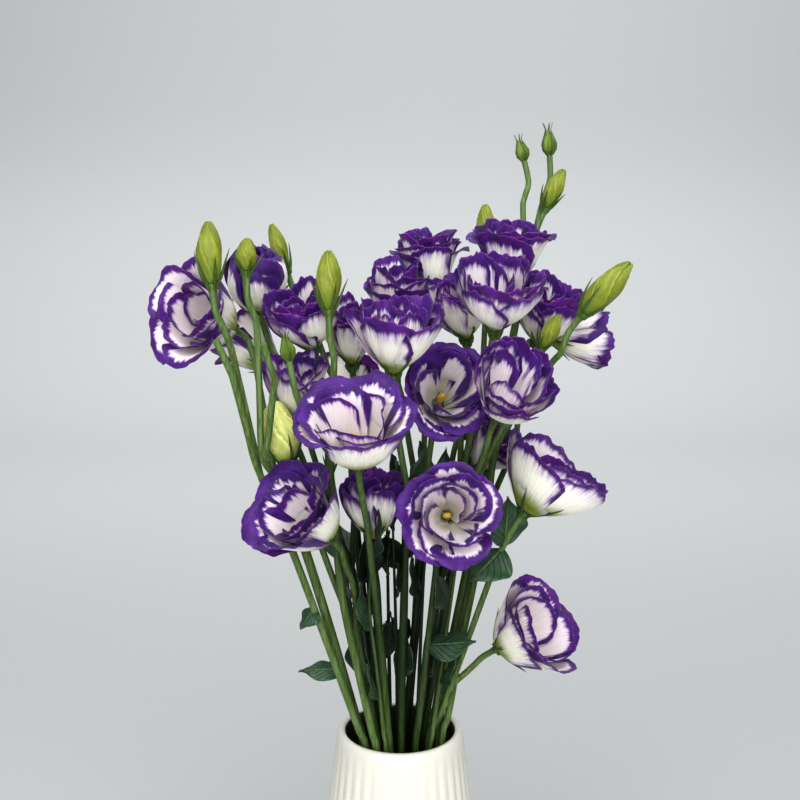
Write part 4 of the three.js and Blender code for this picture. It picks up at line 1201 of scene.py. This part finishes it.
def add_calyx(curve, flower, rng):
    """Five awl-shaped sepals that lie along the foot of a flower and part at their tips."""
    blooming = flower.kind == "bloom"
    length = flower.depth * 0.4 if blooming else flower.length * 0.5
    seat = seat_radius(flower)
    for k in range(SEPALS):
        angle = 2 * math.pi * k / SEPALS + 0.3
        tall = length * rng.uniform(0.85, 1.12)
        part = rng.uniform(1.0, 3.6)
        path = []
        for step in range(SEPAL_STEPS + 1):
            t = step / SEPAL_STEPS
            height = mix(-SEPAL_START, tall, t)
            if height < 0:
                out = mix(seat, seat * 0.7, -height / SEPAL_START)
            elif blooming:
                out = skin_radius(flower, height) + 0.9
            else:
                heights = [p[1] for p in BUD_OUTLINE]
                station = np.interp(height / flower.length, heights, np.linspace(0, 1, len(heights)))
                out = float(outline_at(station, BUD_OUTLINE)[0]) * flower.radius + 0.9
            out += part * t**3
            swing = angle + 0.12 * t * (1 if k % 2 else -1)
            path.append(flower_point(flower, swing, out, height))
        wide = 1.15 if blooming else 1.0
        radii = [wide * (1 - step / SEPAL_STEPS) ** 0.75 + 0.1 for step in range(SEPAL_STEPS + 1)]
        add_tube(curve, path, radii)


def add_bracts(curve, route, rng):
    """A pair of small pointed bracts at a fork."""
    fork = level_point(route, math.floor(route.fork))
    for turn in (40, 220):
        outward = facing(turn + rng.uniform(-25, 25), rng.uniform(44, 62))
        path = []
        for t in (0, 0.25, 0.5, 0.75, 1):
            path.append(along(along(fork, outward, BRACT_LENGTH * t), (0, 0, 1), 2.2 * t * t))
        add_tube(curve, path, [1.2, 1.15, 0.9, 0.5, 0.1])


def model_green_bud(flower, material):
    """A young bud wrapped in five keeled sepals."""
    piece = unit_ball(40, 20)
    t, angle = ball_bearings(piece)
    r, z = outline_at(t, GREEN_BUD_OUTLINE)
    keel = np.abs(np.cos(2.5 * angle)) ** 3
    spread = r * flower.radius * (0.88 + 0.2 * keel)
    places = np.stack((spread * np.cos(angle), spread * np.sin(angle), z * flower.length), axis=1)
    move_vertices(piece.data, placed(places, flower))
    piece.data.materials.append(material)
    return piece


# A sepal along a young bud: height and how far out, as shares of the bud's length and radius.
SEPAL_ON_BUD = [(0, 0.36), (0.2, 0.9), (0.42, 1.02), (0.72, 0.66), (0.98, 0.38)]
SEPAL_TIP = (1.26, 0.62)


def add_bud_points(curve, flower, rng):
    """The sepals that lie on a young bud and stand out past its tip."""
    for k in range(SEPALS):
        angle = 2 * math.pi * k / SEPALS
        path = []
        for height, out in SEPAL_ON_BUD:
            path.append(flower_point(flower, angle, flower.radius * out, height * flower.length))
        height, out = SEPAL_TIP
        spread = flower.radius * out * (1 + 0.5 * rng.uniform(0, 1))
        path.append(flower_point(flower, angle, spread, height * flower.length))
        path = smooth_path(path, 3)
        add_tube(curve, path, np.linspace(0.85, 0.12, len(path)).tolist())


def leaf_root(routes, on, height):
    """Where a leaf leaves the stem of the named flower."""
    route = next(r for r in routes if r.flower.name == on)
    level = level_of(height)
    low = level_point(route, math.floor(level))
    high = level_point(route, math.floor(level) + 1)
    return [mix(a, b, level - math.floor(level)) for a, b in zip(low, high)]


def model_leaf(root, shape, material, seed):
    """An oval leaf with a folded midrib and a gently waved edge."""
    turn, lift, length, half, droop, roll = shape
    rng = random.Random(seed)
    root = np.array(root)
    ahead = np.array(facing(turn, lift))
    side = np.array((math.cos(math.radians(turn)), math.sin(math.radians(turn)), 0))
    up = np.cross(side, ahead)
    tilt = math.radians(roll) * (1 if side[1] > 0 else -1)
    side, up = side * math.cos(tilt) - up * math.sin(tilt), side * math.sin(tilt) + up * math.cos(tilt)
    piece = flat_grid(18, 28)
    flat = vertex_places(piece.data)
    u, v = flat[:, 0], (flat[:, 1] + 1) / 2
    width = half * (0.09 + np.sin(math.pi * v**0.75) * (1 - v**6)) * (1 - v**14)
    wave = 0.9 * np.abs(u) ** 2 * np.sin(v * 13 + rng.uniform(0, 6) + u)
    veins = 0.25 * np.sin(np.abs(u) * 3 - v * 20) * np.abs(u)
    lift_up = width * 0.26 * np.abs(u) - droop * v * v + wave + veins
    places = (root + np.outer(length * v, ahead) + np.outer(width * u, side) + np.outer(lift_up, up)) * MM
    move_vertices(piece.data, places)
    paint_uv(piece.data, "grain", np.stack((u, v), axis=1))
    piece.data.materials.append(material)
    thicken(piece, LEAF_THICKNESS * MM, 0)
    return piece


def model_spray(routes, spray, settings, materials, seed):
    """One cut spray: its stem, branches, calyxes, bracts, young buds and leaves."""
    rng = random.Random(seed)
    own = [r for r in routes if r.flower.spray == spray]
    first = own[0]
    low = settings.stem_radius / MM * rng.uniform(0.76, 1.02)
    high = settings.pedicel_radius / MM
    stems = new_tubes("stems_" + spray, 12)
    green = new_tubes("calyxes_" + spray, 8)
    x, y = first.xy[0]
    foot = [(x, y, STEM_FOOT), (x, y, 90), (x, y, STRAIGHT_TO)]
    single = len(own) == 1
    add_stem(stems, first, stem_points(first, foot, 0), mix(low, high, 0.5) if single else low, high)
    for route in own[1:]:
        level = min(math.floor(first.fork), route.free, len(first.xy) - 2)
        while (level < min(route.free, first.free)
               and math.dist(route.xy[level + 1], first.xy[level + 1]) < MAIN_RADIUS + PEDICEL_RADIUS):
            level += 1
        add_stem(stems, route, stem_points(route, [level_point(first, level)], level + 1), high, high)
    for route in own:
        flower = route.flower
        if flower.kind in ("bloom", "bud"):
            add_calyx(green, flower, rng)
        elif flower.kind == "green_bud":
            add_bud_points(green, flower, rng)
    if not single:
        add_bracts(green, first, rng)
    leaves = [(leaf_root(routes, leaf[0], leaf[1]), leaf[2:]) for leaf in LEAVES
              if leaf[0] in [r.flower.name for r in own]]
    for shoot in SHOOTS:
        if shoot[0] == spray:
            path = smooth_path(shoot_points(routes, shoot), 5)
            add_tube(stems, path, np.linspace(SHOOT_RADIUS, 0.7, len(path)).tolist())
            for share in (0.55, 0.78, 1):
                turn, lift, length = rng.uniform(-80, 80), rng.uniform(50, 74), rng.uniform(24, 34)
                shape = (turn, lift, length, rng.uniform(6.5, 9.5), 3, rng.uniform(30, 70))
                leaves.append((path[round(share * (len(path) - 1))], shape))
    parts = [tubes_as_mesh(stems, materials["stem"]), tubes_as_mesh(green, materials["calyx"])]
    parts += [model_green_bud(r.flower, materials["young"]) for r in own if r.flower.kind == "green_bud"]
    for number, (root, shape) in enumerate(leaves):
        parts.append(model_leaf(root, shape, materials["leaf"], seed + number))
    piece = joined_piece(parts, "stems_" + spray)
    finish_piece(piece, ["spray_" + spray])


# Vase


def extrude_rings(stations, radius, height):
    """Extrudes the selected ring through stations of radius and height, and returns the last."""
    for r, z in stations:
        bpy.ops.mesh.extrude_region_move(TRANSFORM_OT_translate={"value": (0, 0, (z - height) * MM)})
        bpy.ops.transform.resize(value=(r / radius, r / radius, 1), center_override=(0, 0, z * MM))
        radius, height = r, z
    return radius, height


def model_vase(settings):
    """The ribbed vase: one closed wall, up the outside, over the lip and down to the floor inside."""
    deselect_all()
    radius, height = VASE_OUTLINE[0]
    bpy.ops.mesh.primitive_circle_add(vertices=VASE_RIBS * RIB_COLUMNS, radius=radius * MM)
    piece = bpy.context.object
    bpy.ops.object.mode_set(mode="EDIT")
    bpy.ops.mesh.select_all(action="SELECT")
    radius, height = extrude_rings(VASE_OUTLINE[1:] + LIP + VASE_INSIDE, radius, height)
    extrude_rings(FLOOR_INSIDE, radius, height)
    bpy.ops.mesh.edge_face_add()
    bpy.ops.mesh.select_all(action="DESELECT")
    bpy.ops.object.mode_set(mode="OBJECT")
    for vertex in piece.data.vertices:
        vertex.select = vertex.co.z < 0.1 * MM
    bpy.ops.object.mode_set(mode="EDIT")
    bpy.ops.mesh.extrude_region_move(TRANSFORM_OT_translate={"value": (0, 0, 0)})
    bpy.ops.transform.resize(value=(0.86, 0.86, 1), center_override=(0, 0, 0))
    bpy.ops.mesh.extrude_region_move(TRANSFORM_OT_translate={"value": (0, 0, 1.4 * MM)})
    bpy.ops.transform.resize(value=(0.95, 0.95, 1), center_override=(0, 0, 0))
    bpy.ops.mesh.edge_face_add()
    bpy.ops.mesh.select_all(action="SELECT")
    bpy.ops.mesh.normals_make_consistent(inside=False)
    bpy.ops.object.mode_set(mode="OBJECT")
    places = vertex_places(piece.data)
    turn = np.arctan2(places[:, 1], places[:, 0])
    radii = np.hypot(places[:, 0], places[:, 1]) / MM
    z = places[:, 2] / MM
    outer = np.interp(z, [p[1] for p in VASE_OUTLINE], [p[0] for p in VASE_OUTLINE])
    on_skin = np.clip((radii - outer + 2.5) / 2, 0, 1)
    fade = np.clip((z - 3) / 8, 0, 1) * np.clip((VASE_HEIGHT - 5 - z) / 26, 0, 1) * on_skin
    groove = (1 - np.abs(np.cos(turn * VASE_RIBS / 2))) ** 0.8
    scale = 1 - groove * fade * settings.rib_depth / MM / np.maximum(radii, 1)
    places[:, 0] *= scale
    places[:, 1] *= scale
    move_vertices(piece.data, places)
    drop_uv(piece.data)
    # The inner wall, where the glaze takes painted shade.
    inside = np.clip((35 - radii) / 1.5, 0, 1) * (z < 201) + (on_skin < 0.01) * (z < 196)
    paint_uv(piece.data, "margin", np.stack((groove * fade, np.clip(inside, 0, 1)), axis=1))
    piece.data.materials.append(glaze_material(settings.glaze))
    piece.name = "ribbed_vase"
    finish_piece(piece, ["vase"])


# Stage

CAMERA_PLACE = (0, -0.6235, 0.4934)
CAMERA_PITCH = 81.5
CAMERA_LENS = 49.5
CAMERA_SENSOR = 36
WALL_DISTANCE = 2.8
SWEEP_RADIUS = 0.8
BACKDROP_WIDTH = 8
BACKDROP_RUN = 9
BACKDROP_FRONT = 3.6
BACKDROP_CUTS = 60
AIR_COLOUR = (0.93, 0.97, 1, 1)
# Each area light's place, the point that it faces, and its size.
LIGHTS = {
    "key": ((-0.1, -0.6, 1.5), (0, 0, 0.38), (1.4, 1.0)),
    "fill": ((0.1, -1.6, 0.72), (0, 0, 0.35), (2.6, 1.3)),
    "wall": ((0, 1.5, 2.6), (0, 2.8, 0.3), (4, 0.8)),
}


def add_area_light(name, place, aim, size, power):
    deselect_all()
    bpy.ops.object.light_add(type="AREA", location=place)
    light = bpy.context.object
    light.name = name
    light.data.shape = "RECTANGLE"
    light.data.size, light.data.size_y = size
    light.data.energy = power
    light.rotation_euler = (Vector(aim) - Vector(place)).to_track_quat("-Z", "Y").to_euler()


def backdrop_material(colour):
    """Matt pale paper with the faintest fibre, and painted shade that makes it a little darker near the
    vase, high up and to the left.
    """
    r = Recipe("backdrop_paper")
    place = r.own_place()
    x, y, z = r.split(place)
    fibre = r.noise(place, scale=260, detail=3)
    # Painted shade: darker in front near the vase, darker high up, and darker still high up to the left.
    high = r.span(z, 0.4, 1.8)
    ground = r.blend(r.span(y, 0.3, 1.5), opaque(colour, 0.86), opaque(colour))
    ground = r.blend(high, ground, opaque(colour, 0.7))
    ground = r.blend(r.times(r.span(x, -1.8, 0.9, 0.3, 0), high), ground, opaque(colour, 0.5))
    ground = r.blend(r.span(fibre, 0.3, 0.7, 0, 0.03), ground, PAPER_FIBRE)
    return r.finish(ground, fibre, 0.0002, roughness=0.9, Specular_IOR_Level=0.1)


def model_backdrop(settings):
    """A plain floor that sweeps up into the wall behind."""
    deselect_all()
    bpy.ops.mesh.primitive_plane_add(size=1)
    piece = bpy.context.object
    bpy.ops.object.mode_set(mode="EDIT")
    bpy.ops.mesh.subdivide(number_cuts=BACKDROP_CUTS)
    bpy.ops.object.mode_set(mode="OBJECT")
    places = vertex_places(piece.data)
    drawn = (places[:, 1] + 0.5) * BACKDROP_RUN - BACKDROP_FRONT
    start = WALL_DISTANCE - SWEEP_RADIUS
    bend = np.clip((drawn - start) / (SWEEP_RADIUS * math.pi / 2), 0, 1) * math.pi / 2
    over = np.maximum(drawn - start - SWEEP_RADIUS * math.pi / 2, 0)
    y = np.where(drawn < start, drawn, start + SWEEP_RADIUS * np.sin(bend))
    z = np.where(drawn < start, 0, SWEEP_RADIUS * (1 - np.cos(bend)) + over)
    move_vertices(piece.data, np.stack((places[:, 0] * BACKDROP_WIDTH, y, z), axis=1))
    piece.data.materials.append(backdrop_material(settings.backdrop))
    piece.name = "backdrop"
    choose(piece)
    bpy.ops.object.shade_smooth()


# Operators

# First seed of each kind of piece. A spray's leaves take the seeds that follow its own.
SPRAY_SEED = 100
SPRAY_SEED_STEP = 10
BUD_SEED = 500
BLOOM_SEED = 900


class LISIANTHUS_OT_vase(bpy.types.Operator):
    """Model the ribbed ceramic vase"""

    bl_idname = "lisianthus.vase"
    bl_label = "Vase"

    def execute(self, context):
        model_vase(context.scene.lisianthus_vase)
        return {"FINISHED"}


class LISIANTHUS_OT_water(bpy.types.Operator):
    """Give the water in the vase its clear finish"""

    bl_idname = "lisianthus.water"
    bl_label = "Water"

    def execute(self, context):
        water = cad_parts["water"]
        water.data.materials.clear()
        water.data.materials.append(water_material(context.scene.lisianthus_vase.water))
        return {"FINISHED"}


class LISIANTHUS_OT_stems(bpy.types.Operator):
    """Model the cut stems with their branches, calyxes, bracts, young buds and leaves"""

    bl_idname = "lisianthus.stems"
    bl_label = "Stems and Leaves"

    def execute(self, context):
        settings = context.scene.lisianthus_green
        materials = {
            "stem": stem_material("waxy_stem", settings.stem, STEM_FRESH),
            "young": stem_material("young_bud", YOUNG_BUD, YOUNG_BUD_FRESH),
            "calyx": stem_material("calyx", settings.calyx, CALYX_FRESH),
            "leaf": leaf_material(settings.leaf),
        }
        routes = settled_routes()
        for number, spray in enumerate(SPRAYS):
            model_spray(routes, spray, settings, materials, SPRAY_SEED + SPRAY_SEED_STEP * number)
        return {"FINISHED"}


class LISIANTHUS_OT_buds(bpy.types.Operator):
    """Model the large yellow-green buds"""

    bl_idname = "lisianthus.buds"
    bl_label = "Buds"

    def execute(self, context):
        settings = context.scene.lisianthus_green
        closed = bud_material("bud_petals", settings.bud)
        opening = bud_material("opening_bud_petals", settings.pale_bud)
        for number, flower in enumerate(BUDS):
            model_bud(flower, opening if flower.name == "bud_low_left" else closed, BUD_SEED + number)
        return {"FINISHED"}


class LISIANTHUS_OT_blooms(bpy.types.Operator):
    """Model the blooms, petal by petal"""

    bl_idname = "lisianthus.blooms"
    bl_label = "Blooms"

    def execute(self, context):
        settings = context.scene.lisianthus_petal
        materials = [
            petal_material("petal_back", settings.back, settings, True),
            petal_material("petal_inside", settings.inside, settings, False),
            heart_material(),
        ]
        grids = petal_grids()
        for number, flower in enumerate(BLOOMS):
            model_bloom(flower, grids, settings, materials, BLOOM_SEED + number)
        for grid in grids:
            bpy.data.objects.remove(grid)
        return {"FINISHED"}


class LISIANTHUS_OT_studio(bpy.types.Operator):
    """Set up the plain backdrop, the soft lights and the camera"""

    bl_idname = "lisianthus.studio"
    bl_label = "Studio"

    def execute(self, context):
        settings = context.scene.lisianthus_studio
        model_backdrop(settings)
        for name, (place, aim, size) in LIGHTS.items():
            add_area_light(name + "_light", place, aim, size, getattr(settings, name))
        world = bpy.data.worlds.new("studio_air")
        world.use_nodes = True
        background = world.node_tree.nodes["Background"]
        background.inputs["Color"].default_value = AIR_COLOUR
        background.inputs["Strength"].default_value = settings.ambient
        context.scene.world = world
        context.scene.view_settings.view_transform = "Standard"
        context.scene.view_settings.look = "Medium High Contrast"
        deselect_all()
        bpy.ops.object.camera_add(location=CAMERA_PLACE, rotation=(math.radians(CAMERA_PITCH), 0, 0))
        camera = context.object
        camera.data.lens = CAMERA_LENS
        camera.data.sensor_width = CAMERA_SENSOR
        camera.data.clip_start = 0.01
        context.scene.camera = camera
        return {"FINISHED"}


class LISIANTHUS_PT_panel(bpy.types.Panel):
    """Settings and makers of the bunch and its vase"""

    bl_label = "Lisianthus"
    bl_idname = "LISIANTHUS_PT_panel"
    bl_space_type = "VIEW_3D"
    bl_region_type = "UI"
    bl_category = "Lisianthus"

    def draw(self, context):
        scene = context.scene
        groups = (
            (scene.lisianthus_vase, (LISIANTHUS_OT_vase, LISIANTHUS_OT_water)),
            (scene.lisianthus_green, (LISIANTHUS_OT_stems, LISIANTHUS_OT_buds)),
            (scene.lisianthus_petal, (LISIANTHUS_OT_blooms,)),
            (scene.lisianthus_studio, (LISIANTHUS_OT_studio,)),
        )
        for settings, makers in groups:
            box = self.layout.box()
            for key in settings.__annotations__:
                box.prop(settings, key)
            for maker in makers:
                box.operator(maker.bl_idname)


MAKERS = (
    LISIANTHUS_OT_vase,
    LISIANTHUS_OT_water,
    LISIANTHUS_OT_stems,
    LISIANTHUS_OT_buds,
    LISIANTHUS_OT_blooms,
    LISIANTHUS_OT_studio,
)
CLASSES = (VaseSettings, PetalSettings, GreenSettings, StudioSettings, *MAKERS, LISIANTHUS_PT_panel)


def register():
    for each in CLASSES:
        bpy.utils.register_class(each)
    bpy.types.Scene.lisianthus_vase = PointerProperty(type=VaseSettings)
    bpy.types.Scene.lisianthus_petal = PointerProperty(type=PetalSettings)
    bpy.types.Scene.lisianthus_green = PointerProperty(type=GreenSettings)
    bpy.types.Scene.lisianthus_studio = PointerProperty(type=StudioSettings)


def unregister():
    for name in ("vase", "petal", "green", "studio"):
        delattr(bpy.types.Scene, "lisianthus_" + name)
    for each in reversed(CLASSES):
        bpy.utils.unregister_class(each)


def main():
    register()
    bpy.ops.lisianthus.vase()
    bpy.ops.lisianthus.water()
    bpy.ops.lisianthus.stems()
    bpy.ops.lisianthus.buds()
    bpy.ops.lisianthus.blooms()
    bpy.ops.lisianthus.studio()


if __name__ == "__main__":
    main()
